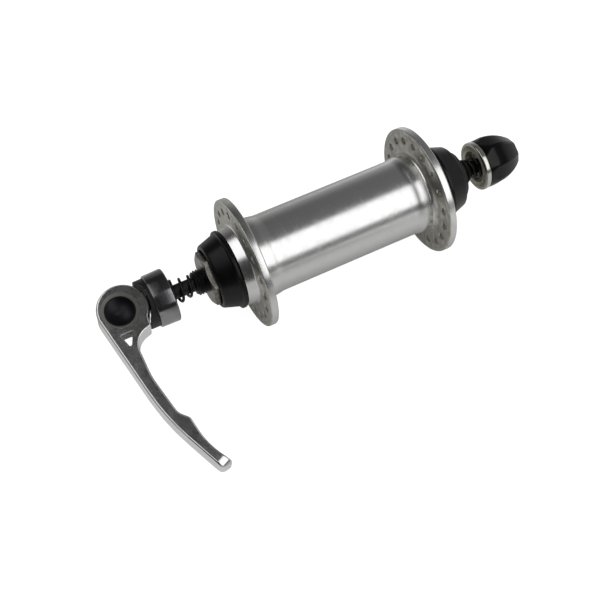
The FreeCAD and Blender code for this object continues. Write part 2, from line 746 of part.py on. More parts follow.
def slot_corners():
    """The slot reaches from the rod's place when closed, round the side away from the arm, to
    its place when open, with a clearance beside the rod at both ends."""
    half = "(rod_dia / 2 + slot_side)"
    reach = "drum_dia"
    turn = "1deg * open_angle"
    return [
        (f"-{half}", "pin_place"),
        (f"-{half}", f"pin_place - {reach}"),
        (reach, f"pin_place - {reach}"),
        (reach, f"pin_place + {reach}"),
        (f"-({half} * -cos({turn}) - {reach} * sin({turn}))",
         f"pin_place + {half} * sin({turn}) - {reach} * cos({turn})"),
        (f"-({half} * -cos({turn}))", f"pin_place + {half} * sin({turn})"),
    ]


def build_saddle():
    """Plastic saddle that the cam bears on, with its shallow groove."""
    body = new_body("cam_saddle")
    floor = f"{CLAMP_BACK} - saddle_seat"
    outline = [
        ("rod_dia / 2 + rod_gap", floor),
        ("saddle_dia / 2", floor),
        ("saddle_dia / 2", "pin_place - saddle_rim"),
        ("rod_dia / 2 + rod_gap", "pin_place - saddle_rim"),
    ]
    turned(body, outline)
    sketch = new_sketch(body, "cam_saddle_groove_circle")
    groove_place = f"({DRUM_PLACE} - drum_dia / 2 - saddle_gap + saddle_groove)"
    draw_circle(sketch, "0", groove_place, "saddle_groove")
    cut_through(body, sketch, "2 * saddle_dia", "groove")
    tilt_with_lever(body)
    return body


def build_clamp_cup():
    """Steel cup that presses on the dropout, with the spring's hollow and the saddle's seat."""
    body = new_body("clamp_cup")
    seat = "(saddle_dia / 2 + seat_gap)"
    outline = [
        ("clamp_cavity_dia / 2", "cup_place"),
        ("clamp_dia / 2 - clamp_round", "cup_place", ("clamp_round", 1)),
        ("clamp_dia / 2", "cup_place + clamp_round"),
        ("clamp_back_dia / 2", f"{CLAMP_BACK} - clamp_edge"),
        ("clamp_back_dia / 2 - clamp_edge", CLAMP_BACK),
        (seat, CLAMP_BACK),
        (seat, f"{CLAMP_BACK} - saddle_seat"),
        ("rod_dia / 2 + rod_gap", f"{CLAMP_BACK} - saddle_seat"),
        ("rod_dia / 2 + rod_gap", CAVITY_FLOOR),
        ("clamp_cavity_dia / 2", CAVITY_FLOOR),
    ]
    turned(body, outline)
    return body


def build_knob_core():
    """Steel core of the adjusting nut, with the face that presses on the dropout."""
    body = new_body("adjusting_nut_core")
    bore = "rod_dia / 2 + rod_gap / 2"
    outline = [
        ("knob_recess_dia / 2", "knob_place"),
        ("knob_face_dia / 2 - knob_face_round", "knob_place", ("knob_face_round", 1)),
        ("knob_face_dia / 2", "knob_place + knob_face_round"),
        ("knob_face_dia / 2", "knob_place + knob_face_len"),
        ("knob_core_dia / 2", "knob_place + knob_face_len"),
        ("knob_core_dia / 2", "knob_place + knob_core_end"),
        (bore, "knob_place + knob_core_end"),
        (bore, RECESS_FLOOR),
        ("knob_recess_dia / 2", RECESS_FLOOR),
    ]
    turned(body, on_side(-1, outline))
    return body


def build_grip():
    """Domed plastic grip of the adjusting nut, with finger flats."""
    body = new_body("adjusting_nut_grip")
    outline = [
        ("knob_core_dia / 2", "knob_place + knob_face_len"),
        ("grip_base_dia / 2", "knob_place + knob_face_len"),
        ("grip_dia / 2", "knob_place + grip_wide", ("grip_round", 1)),
        ("grip_end_dia / 2", "knob_place + grip_len"),
        ("0", "knob_place + grip_len"),
        ("0", "knob_place + grip_hollow"),
        ("rod_dia / 2 + rod_gap", "knob_place + grip_hollow"),
        ("rod_dia / 2 + rod_gap", "knob_place + knob_core_end"),
        ("knob_core_dia / 2", "knob_place + knob_core_end"),
    ]
    turned(body, on_side(-1, outline))
    sketch = new_sketch(body, "grip_flat_outline")
    sketch.AttachmentOffset = Placement(
        Vector(0, 0, 0), Rotation(Vector(0, -1, 0), value("grip_flat_angle"))
    )
    bind(sketch, "AttachmentOffset.Rotation.Angle", "grip_flat_angle")
    flat = [
        ("grip_flat_across / 2", "knob_place + knob_face_len"),
        ("grip_dia", "knob_place + knob_face_len"),
        ("grip_dia", "knob_place + grip_len"),
        ("grip_flat_across / 2", "knob_place + grip_len"),
    ]
    draw_outline(sketch, on_side(-1, flat))
    cut = cut_through(body, sketch, "grip_dia", "finger_flat")
    repeat_round(body, cut, sketch, "V_Axis", "grip_flats")
    return body


def coil_point(coil, turn):
    """A point of a spring's wire centre, and the way that the wire runs there. The radius
    grows with the square of the way along the spring."""
    small = value("coil_small")
    share = turn / coil.turns
    radius = small + (coil.large - small) * share * share
    growth = 2 * (coil.large - small) * share / coil.turns
    angle = 2 * math.pi * turn
    point = Vector(
        radius * math.cos(angle),
        coil.side * (coil.start + coil.length * share),
        radius * math.sin(angle),
    )
    run = Vector(
        growth * math.cos(angle) - 2 * math.pi * radius * math.sin(angle),
        coil.side * coil.length / coil.turns,
        growth * math.sin(angle) + 2 * math.pi * radius * math.cos(angle),
    )
    return point, run.normalize()


def biarc(start, start_run, finish, finish_run):
    """Two arcs that leave one point and reach another along the given directions."""
    gap = finish - start
    both = start_run + finish_run
    spread = 2 * (1 - start_run.dot(finish_run))
    along = gap.dot(both)
    reach = (math.sqrt(along * along + spread * gap.dot(gap)) - along) / spread
    middle = (start + start_run * reach + finish - finish_run * reach) / 2
    return [arc_from(start, start_run, middle), arc_from(finish, finish_run * -1, middle, True)]


def arc_from(start, run, finish, backwards=False):
    """The arc from one point to another that leaves the first along the given direction."""
    chord = finish - start
    side = (chord - run * chord.dot(run)).normalize()
    radius = chord.dot(chord) / (2 * chord.dot(side))
    centre = start + side * radius
    crown = centre + ((start + finish) / 2 - centre).normalize() * radius
    ends = (finish, start) if backwards else (start, finish)
    return Part.Arc(ends[0], crown, ends[1]).toShape()


def least_self_gap(coil):
    """The least clear gap between neighbouring coils, measured on points along the wire."""
    steps = 48
    points = [coil_point(coil, index / steps)[0] for index in range(int(coil.turns * steps) + 1)]
    gaps = [(points[later] - points[index]).Length
            for index in range(len(points))
            for later in range(index + steps // 2, len(points))]
    return min(gaps) - value("wire_dia")


def build_spring(name, coil):
    """Conical spring, one tube along quarter turns of arcs."""
    edges = []
    for index in range(round(coil.turns * 4)):
        point, run = coil_point(coil, index / 4)
        after, after_run = coil_point(coil, (index + 1) / 4)
        edges += biarc(point, run, after, after_run)
    first, run = coil_point(coil, 0)
    section = Part.Wire([Part.Circle(first, run, value("wire_dia / 2")).toShape()])
    node = doc.addObject("Part::Feature", name)
    node.Label = name
    node.Shape = Part.Wire(edges).makePipeShell([section], True, False)
    print(f"{name}: least gap to itself {least_self_gap(coil):.2f} mm")
    return node


def build_springs():
    """Both springs, from the axle's end to the cup's and to the adjusting nut's floor."""
    first = value(f"{AXLE_END} + coil_gap + wire_dia / 2")
    nodes = []
    for name, floor in (("left", CAVITY_FLOOR), ("right", RECESS_FLOOR)):
        last = value(f"{floor} - coil_gap - wire_dia / 2")
        coil = Coil(SIDES[name], first, last - first, value(f"coil_turns_{name}"),
                    value(f"coil_large_{name}"))
        nodes.append(build_spring(f"spring_{name}", coil))
    return nodes


def check_and_write(nodes):
    """Stops on any failed object, then writes one file for each node."""
    doc.recompute()
    for thing in doc.Objects:
        if "Invalid" in thing.State or "Error" in thing.State:
            raise RuntimeError(f"{thing.Name} failed: {thing.State}")
    os.makedirs("parts", exist_ok=True)
    for node in nodes:
        if node.Shape.isNull() or not node.Shape.isValid():
            raise RuntimeError(f"{node.Label} has no valid shape")
        node.Shape.exportStep(f"parts/{node.Label}.step")
        print(f"{node.Label}: {node.Shape.Volume:.1f} mm3, {len(node.Shape.Solids)} solids")


def main():
    nodes = [build_shell(), build_axle()]
    for name, side in SIDES.items():
        nodes += [
            build_cup(name, side),
            build_balls(name, side),
            build_cone(name, side),
            build_dust_cap(name, side),
            build_boot(name, side),
            build_washer(name, side),
            build_locknut(name, side),
        ]
    nodes += [
        build_rod(),
        build_cam_pin(),
        build_lever(),
        build_saddle(),
        build_clamp_cup(),
        build_knob_core(),
        build_grip(),
    ]
    nodes += build_springs()
    check_and_write(nodes)


main()
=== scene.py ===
import logging
import math
from dataclasses import dataclass, field
from enum import Enum
from typing import Iterable, Sequence

import bmesh
import bpy
import numpy as np
from mathutils import Matrix


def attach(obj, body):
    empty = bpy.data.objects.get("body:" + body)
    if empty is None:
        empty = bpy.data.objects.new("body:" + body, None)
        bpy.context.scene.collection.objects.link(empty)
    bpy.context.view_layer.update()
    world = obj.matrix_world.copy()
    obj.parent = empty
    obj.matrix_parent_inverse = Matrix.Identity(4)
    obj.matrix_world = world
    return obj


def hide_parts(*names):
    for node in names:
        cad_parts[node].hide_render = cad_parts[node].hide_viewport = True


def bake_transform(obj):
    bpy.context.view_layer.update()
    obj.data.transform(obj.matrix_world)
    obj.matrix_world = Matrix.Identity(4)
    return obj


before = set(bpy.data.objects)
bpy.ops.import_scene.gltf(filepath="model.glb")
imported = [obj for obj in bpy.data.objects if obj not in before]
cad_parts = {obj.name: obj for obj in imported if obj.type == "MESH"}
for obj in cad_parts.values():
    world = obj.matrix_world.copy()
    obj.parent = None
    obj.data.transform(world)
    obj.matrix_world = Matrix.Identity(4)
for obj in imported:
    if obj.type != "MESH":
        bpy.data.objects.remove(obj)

log = logging.getLogger("front_hub")

MM = 0.001
SEGMENTS = 144
Corner = tuple[float, float, float]


class Side(Enum):
    """The two ends of the hub: the lever's is left, the adjusting nut's is right."""

    LEFT = 1
    RIGHT = -1

    @property
    def label(self) -> str:
        """The word that the node names end in."""
        return self.name.lower()


class Grain(Enum):
    """The way in which a metal's fine lines run, and how that squeezes their noise."""

    TURNED = (60.0, 9000.0, 60.0)
    FACED = (2500.0, 60.0, 2500.0)
    CAST = (2200.0, 2200.0, 2200.0)

    @property
    def scale(self) -> tuple[float, float, float]:
        """The squeeze along each axis."""
        return self.value


# Shapes


def unit(vectors: Sequence[float] | np.ndarray) -> np.ndarray:
    """Vectors divided by their lengths."""
    vectors = np.asarray(vectors, float)
    return vectors / np.linalg.norm(vectors, axis=-1, keepdims=True)


def rounded(corners: Sequence[Corner], closed: bool = True, turn: float = 0.2) -> np.ndarray:
    """Points of an outline whose corners are rounded.

    Each arc touches the two straight runs at radius / tan(half the corner's angle) from the
    corner, and its centre lies on the corner's bisector.

    Args:
        corners: (x, y, radius) of each corner, radius 0 for a sharp one.
        closed: whether the last corner joins the first.
        turn: the most that one step of an arc turns, in radians.

    Returns:
        An array of (x, y) points.
    """
    places = np.array([corner[:2] for corner in corners], float)
    parts = []
    for index, place in enumerate(places):
        radius = corners[index][2]
        if radius <= 0 or (not closed and index in (0, len(corners) - 1)):
            parts.append(place[None])
            continue
        back = unit(places[index - 1] - place)
        ahead = unit(places[(index + 1) % len(corners)] - place)
        angle = math.acos(float(np.clip(back @ ahead, -1, 1)))
        centre = place + unit(back + ahead) * radius / math.sin(angle / 2)
        start = place + back * radius / math.tan(angle / 2) - centre
        sweep = math.pi - angle
        hand = math.copysign(1, back[0] * ahead[1] - back[1] * ahead[0]) * -1
        steps = max(2, math.ceil(sweep / turn))
        angles = math.atan2(start[1], start[0]) + hand * np.linspace(0, sweep, steps + 1)
        parts.append(centre + radius * np.stack([np.cos(angles), np.sin(angles)], 1))
    return np.concatenate(parts)


def grid_faces(rows: int, columns: int, wrap_rows: bool, wrap_columns: bool) -> np.ndarray:
    """Four-sided faces of a grid of points numbered row by row.

    Args:
        rows: how many rows of points.
        columns: how many points in a row.
        wrap_rows: whether the last row joins the first.
        wrap_columns: whether each row's last point joins its first.

    Returns:
        An array of faces, four point numbers each.
    """
    row = np.arange(rows if wrap_rows else rows - 1)[:, None]
    column = np.arange(columns if wrap_columns else columns - 1)[None]
    below, right = (row + 1) % rows, (column + 1) % columns
    corners = [row * columns + column, row * columns + right,
               below * columns + right, below * columns + column]
    return np.stack([corner + 0 * row * column for corner in corners], -1).reshape(-1, 4)


def full_turn(steps: int) -> np.ndarray:
    """Angles that part one turn into equal steps, as a row."""
    return np.linspace(0, 2 * math.pi, steps, endpoint=False)[None]


def about(radius: np.ndarray | float, station: np.ndarray | float,
          angle: np.ndarray) -> np.ndarray:
    """A grid of points about the axle: (radius * cos angle, station, radius * sin angle).

    Args:
        radius: distances from the axle, a row for each station.
        station: places along the axle.
        angle: angles from +X towards +Z, a column for each.

    Returns:
        An array of rows of points.
    """
    return np.stack(np.broadcast_arrays(radius * np.cos(angle), station, radius * np.sin(angle)),
                    -1)


def woven(points: np.ndarray, closed: bool) -> "Surface":
    """The surface on rows of points, where each row's last point joins its first.

    Args:
        points: the rows.
        closed: whether the last row joins the first.

    Returns:
        The surface.
    """
    rows, columns = points.shape[:2]
    return Surface(points.reshape(-1, 3), grid_faces(rows, columns, closed, True))


def turned(profile: np.ndarray, closed: bool = True, segments: int = SEGMENTS) -> "Surface":
    """The surface that a profile sweeps when it is turned about the axle.

    Args:
        profile: (radius, station) points.
        closed: whether the profile's last point joins its first.
        segments: steps in one turn.

    Returns:
        The surface.
    """
    return woven(about(profile[:, :1], profile[:, 1:], full_turn(segments)), closed)


def mirrored(profile: np.ndarray, side: Side) -> np.ndarray:
    """A profile with its stations measured towards one side of the hub."""
    return profile * (1, side.value)


def doubled(half: np.ndarray) -> np.ndarray:
    """A profile from its half at the left and that half's mirror image at the right."""
    return np.concatenate([half[::-1] * (1, -1), half[1:]])


@dataclass
class Surface:
    """Points and faces of one surface, in millimetres."""

    points: np.ndarray
    faces: np.ndarray

    def __add__(self, other: "Surface") -> "Surface":
        """Both surfaces as one."""
        return Surface(np.concatenate([self.points, other.points]),
                       np.concatenate([self.faces, other.faces + len(self.points)]))

    def mesh(self, name: str, ends: Sequence[Sequence[int]] = ()) -> bpy.types.Mesh:
        """A mesh of the surface, without double points and with all faces turned outwards.

        Args:
            name: the mesh's name.
            ends: more faces, as point numbers.

        Returns:
            The mesh.
        """
        mesh = bpy.data.meshes.new(name)
        mesh.from_pydata((self.points * MM).tolist(), [], [*self.faces.tolist(), *ends])
        work = bmesh.new()
        work.from_mesh(mesh)
        bmesh.ops.remove_doubles(work, verts=work.verts, dist=2e-6)
        bmesh.ops.dissolve_degenerate(work, edges=work.edges, dist=1e-7)
        loose = [edge for edge in work.edges if not edge.link_faces]
        bmesh.ops.delete(work, geom=loose, context="EDGES")
        bmesh.ops.recalc_face_normals(work, faces=work.faces)
        work.to_mesh(mesh)
        work.free()
        return mesh

    def moved(self, offset: Sequence[float]) -> "Surface":
        """The surface shifted by a vector."""
        return Surface(self.points + np.asarray(offset, float), self.faces)

    def about_axle(self, degrees: float) -> "Surface":
        """The surface turned about the axle.

        Args:
            degrees: the turn, from +X towards +Z.

        Returns:
            The turned surface.
        """
        angle = math.radians(degrees)
        x, y, z = self.points.T
        turned_x = x * math.cos(angle) - z * math.sin(angle)
        turned_z = x * math.sin(angle) + z * math.cos(angle)
        return Surface(np.stack([turned_x, y, turned_z], 1), self.faces)

    def axis_to_cam(self) -> "Surface":
        """The surface with its turning axis laid along +Z, as the cam pin's."""
        x, y, z = self.points.T
        return Surface(np.stack([x, -z, y], 1), self.faces)


@dataclass
class Nodes:
    """Short ways to put nodes into one shader tree."""

    tree: bpy.types.NodeTree

    def feed(self, node: bpy.types.Node, inputs: dict[str | int, object]) -> None:
        """Gives a node's inputs their values.

        Args:
            node: the node.
            inputs: a socket to link or a value to set, for each input's name or number.
        """
        for key, value in inputs.items():
            if isinstance(value, bpy.types.NodeSocket):
                self.tree.links.new(value, node.inputs[key])
            else:
                node.inputs[key].default_value = value

    def add(self, kind: str, inputs: dict[str | int, object] | None = None,
            **settings: str) -> bpy.types.Node:
        """A new node.

        Args:
            kind: its type, without the word ShaderNode.
            inputs: what its inputs get, as in feed.
            settings: its own settings.

        Returns:
            The node.
        """
        node = self.tree.nodes.new(f"ShaderNode{kind}")
        for name, choice in settings.items():
            setattr(node, name, choice)
        self.feed(node, inputs or {})
        return node

    def maths(self, operation: str, *values: bpy.types.NodeSocket | float) -> bpy.types.NodeSocket:
        """The result of one sum on sockets and numbers."""
        return self.add("Math", dict(enumerate(values)), operation=operation).outputs[0]

    def parts(self, coordinates: str) -> list[bpy.types.NodeSocket]:
        """The x, y and z of the texture coordinates of a name."""
        place = self.add("TexCoord").outputs[coordinates]
        return list(self.add("SeparateXYZ", {0: place}).outputs)

    def carried(self, value: bpy.types.NodeSocket, before: tuple[float, float],
                after: tuple[float, float]) -> bpy.types.NodeSocket:
        """A value carried from one range to another and kept inside it.

        Args:
            value: the value.
            before: the range that it comes from.
            after: the range that it goes to.

        Returns:
            The new value.
        """
        node = self.add("MapRange", {"Value": value, "From Min": before[0], "From Max": before[1],
                                     "To Min": after[0], "To Max": after[1]})
        return node.outputs["Result"]

    def ramp(self, value: bpy.types.NodeSocket,
             stops: Sequence[tuple[float, Sequence[float]]]) -> bpy.types.NodeSocket:
        """A colour that goes from stop to stop.

        Args:
            value: where on the ramp the colour is read, from 0 to 1.
            stops: place and linear colour of each stop, in order.

        Returns:
            The colour.
        """
        node = self.add("ValToRGB", {"Fac": value})
        elements = node.color_ramp.elements
        elements.remove(elements[1])
        for index, (place, colour) in enumerate(stops):
            stop = elements.new(place) if index else elements[0]
            stop.position = place
            stop.color = (*colour, 1)
        return node.outputs["Color"]

    def end(self, output: str, seen: bpy.types.NodeSocket,
            mirrored: bpy.types.NodeSocket) -> None:
        """Ends the tree in one shader for the camera's own rays and another for all others.

        Args:
            output: the output node's name.
            seen: what the camera sees.
            mirrored: what lights and mirrors in the object.
        """
        path = self.add("LightPath").outputs["Is Camera Ray"]
        choice = self.add("MixShader", {0: path, 1: mirrored, 2: seen})
        self.feed(self.tree.nodes[output], {"Surface": choice.outputs[0]})


@dataclass(frozen=True)
class Finish:
    """A procedural material.

    Attributes:
        name: the material's name.
        colour: base colour, linear.
        metallic: 1 for bare metal.
        roughness: middle roughness.
        wear: how much the roughness varies.
        lines: height of the fine lines, in millimetres.
        grain: the way in which the lines run.
        mottle: how much the colour varies.
        tint: the colour that the mottling goes towards.
        stretch: anisotropy along the lines.
        spot: how fine the mottling is, in spots per metre.
        shine: strength of the reflection of what isn't metal.
    """

    name: str
    colour: tuple[float, float, float]
    metallic: float = 1.0
    roughness: float = 0.3
    wear: float = 0.08
    lines: float = 0.002
    grain: Grain = Grain.TURNED
    mottle: float = 0.1
    tint: tuple[float, float, float] = (0.5, 0.5, 0.5)
    stretch: float = 0.0
    spot: float = 300.0
    shine: float = 0.5

    def material(self) -> bpy.types.Material:
        """The Blender material, made once.

        Returns:
            The material, whose name differs from those of the frame's own materials.
        """
        name = f"look_{self.name}"
        found = bpy.data.materials.get(name)
        if found:
            return found
        material = bpy.data.materials.new(name)
        material.use_nodes = True
        nodes = Nodes(material.node_tree)
        shader = material.node_tree.nodes["Principled BSDF"]
        place = nodes.add("TexCoord").outputs["Object"]
        spots = self._noise(nodes, place, (self.spot,) * 3, 4.0)
        fine = self._noise(nodes, place, self.grain.scale, 2.0)
        towards = [a + (b - a) * self.mottle for a, b in zip(self.colour, self.tint)]
        rough = nodes.carried(nodes.maths("ADD", spots, fine), (0.6, 1.4), (
            max(0.02, self.roughness - self.wear), self.roughness + self.wear))
        bump = nodes.add("Bump", {"Strength": 1.0, "Distance": self.lines * MM, "Height": fine})
        nodes.feed(shader, {
            "Metallic": self.metallic, "Anisotropic": self.stretch,
            "Specular IOR Level": self.shine, "Roughness": rough,
            "Base Color": nodes.ramp(spots, ((0.35, self.colour), (0.75, towards))),
            "Normal": bump.outputs["Normal"],
        })
        if self.stretch:
            tangent = nodes.add("Tangent", direction_type="RADIAL", axis="Y")
            nodes.feed(shader, {"Tangent": tangent.outputs["Tangent"]})
        return material

    @staticmethod
    def _noise(nodes: Nodes, place: bpy.types.NodeSocket, scale: tuple[float, float, float],
               detail: float) -> bpy.types.NodeSocket:
        """Noise on object coordinates.

        Args:
            nodes: the material's nodes.
            place: the coordinates.
            scale: how the noise is squeezed along each axis.
            detail: how many finer layers it has.

        Returns:
            The noise, from 0 to 1.
        """
        squeezed = nodes.add("Mapping", {"Vector": place, "Scale": scale}).outputs["Vector"]
        noise = nodes.add("TexNoise", {"Vector": squeezed, "Scale": 1.0, "Detail": detail})
        return noise.outputs["Fac"]


SHELL_ALUMINIUM = Finish("turned_aluminium", (0.82, 0.82, 0.82), roughness=0.24, wear=0.05,
                         lines=0.0015, tint=(0.6, 0.58, 0.54), stretch=0.3)
FLANGE_ALUMINIUM = Finish("flange_aluminium", (0.72, 0.705, 0.66), roughness=0.38, wear=0.12,
                          lines=0.006, grain=Grain.FACED, mottle=0.7, tint=(0.34, 0.32, 0.25),
                          spot=420.0)
BLACK_STEEL = Finish("blackened_steel", (0.006, 0.006, 0.0065), metallic=0.3, roughness=0.4,
                     mottle=0.2, tint=(0.03, 0.03, 0.03))
SPRING_WIRE = Finish("black_wire", (0.006, 0.006, 0.0065), metallic=0.2, lines=0.001,
                     grain=Grain.CAST, mottle=0.2, tint=(0.03, 0.03, 0.03))
DARK_STEEL = Finish("dark_steel", (0.03, 0.03, 0.034), roughness=0.4, wear=0.06,
                    grain=Grain.CAST, mottle=0.2, tint=(0.03, 0.03, 0.03))
GREY_STEEL = Finish("grey_steel", (0.3, 0.29, 0.26), wear=0.1, lines=0.004,
                    grain=Grain.CAST, mottle=0.6, tint=(0.08, 0.075, 0.06), spot=600.0)
BORE_STEEL = Finish("bevelled_steel", (0.34, 0.34, 0.31), metallic=0.3, roughness=0.55,
                    wear=0.05, lines=0.003, grain=Grain.CAST, mottle=0.4, tint=(0.25, 0.25, 0.21),
                    spot=500.0)
# Pale, rough metal for the lever's leaning edge faces: a painted highlight along the edges.
EDGE_HIGHLIGHT = Finish("painted_edge_highlight", (0.95, 0.95, 0.94), roughness=0.42, grain=Grain.CAST,
                   tint=(0.7, 0.7, 0.7))
# Near-black metal for the window's walls: painted shade inside the window.
SHADED_WALL = Finish("painted_shade_wall", (0.045, 0.044, 0.04), roughness=0.4, wear=0.1, lines=0.004,
                     grain=Grain.CAST, mottle=0.6, tint=(0.03, 0.03, 0.025), spot=700.0)
BEARING_STEEL = Finish("bearing_steel", (0.55, 0.55, 0.56), roughness=0.16, wear=0.04)
CAP_STEEL = Finish("cap_steel", (0.4, 0.4, 0.4), roughness=0.32)
BLACK_RUBBER = Finish("black_rubber", (0.003, 0.003, 0.0035), metallic=0.0, wear=0.06,
                      grain=Grain.CAST, mottle=0.3, tint=(0.008, 0.008, 0.009), shine=0.3)
LEVER_ALUMINIUM = Finish("polished_lever", (0.8, 0.8, 0.8), roughness=0.15, wear=0.05,
                         lines=0.0036, grain=Grain.CAST, mottle=0.2, tint=(0.45, 0.45, 0.45))
BLACK_PLASTIC = Finish("black_plastic", (0.005, 0.005, 0.005), metallic=0.0, roughness=0.5,
                       lines=0.003, grain=Grain.CAST, mottle=0.2, tint=(0.012, 0.012, 0.012))
DARK_CHROME = Finish("dark_chrome", (0.3, 0.3, 0.31), roughness=0.16, wear=0.05,
                     lines=0.001, mottle=0.3, tint=(0.18, 0.18, 0.18), spot=500.0)
BRIGHT_CHROME = Finish("bright_chrome", (0.66, 0.65, 0.62), roughness=0.17, wear=0.05,
                       mottle=0.3, tint=(0.4, 0.38, 0.3), spot=500.0)
GLOSS_PLASTIC = Finish("gloss_black_plastic", (0.003, 0.003, 0.0035), metallic=0.0,
                       roughness=0.18, lines=0.008, grain=Grain.CAST, mottle=0.2,
                       tint=(0.008, 0.008, 0.008), spot=180.0, shine=0.3)
TOOTH_STEEL = Finish("toothed_steel", (0.85, 0.82, 0.7), metallic=0.7, roughness=0.45,
                     wear=0.1, lines=0.004, grain=Grain.CAST, mottle=0.5, tint=(0.5, 0.46, 0.36),
                     spot=700.0)


def placed(name: str, data: bpy.types.ID) -> bpy.types.Object:
    """A new object of the scene that shows a mesh, a lamp or a camera."""
    item = bpy.data.objects.new(name, data)
    bpy.context.scene.collection.objects.link(item)
    return item


def pose(axes: Sequence[np.ndarray], place: np.ndarray) -> Matrix:
    """The matrix of an object from its three axes and its place in metres."""
    matrix = np.eye(4)
    matrix[:3] = np.column_stack([*axes, place])
    return Matrix(matrix.tolist())


def add_piece(name: str, shape: Surface | bpy.types.Mesh, finishes: Sequence[Finish], body: str,
              stands_for: Iterable[str], sharp: float = 32.0,
              stretch: tuple[float, float] | None = None) -> bpy.types.Object:
    """Puts a shape into the scene as one piece of the object.

    Args:
        name: the piece's name.
        shape: its surface, or its finished mesh.
        finishes: its materials; the first one covers it.
        body: the CAD body that it moves with.
        stands_for: the CAD nodes that it replaces.
        sharp: edges that turn more than this many degrees stay sharp.
        stretch: for a spring, the stations of its end on the axle and of its moving end; only
            whether it is given is used, and then the piece isn't attached to its body.

    Returns:
        The object.
    """
    mesh = shape.mesh(name) if isinstance(shape, Surface) else shape
    for finish in finishes:
        mesh.materials.append(finish.material())
    mesh.polygons.foreach_set("use_smooth", np.ones(len(mesh.polygons), bool))
    mesh.set_sharp_from_angle(angle=math.radians(sharp))
    mesh.update()
    piece = placed(name, mesh)
    if stretch:
        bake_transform(piece)
    else:
        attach(piece, body)
    for node in stands_for:
        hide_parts(node)
    log.info("%s: %d faces, on %s", name, len(mesh.polygons), body)
    return piece


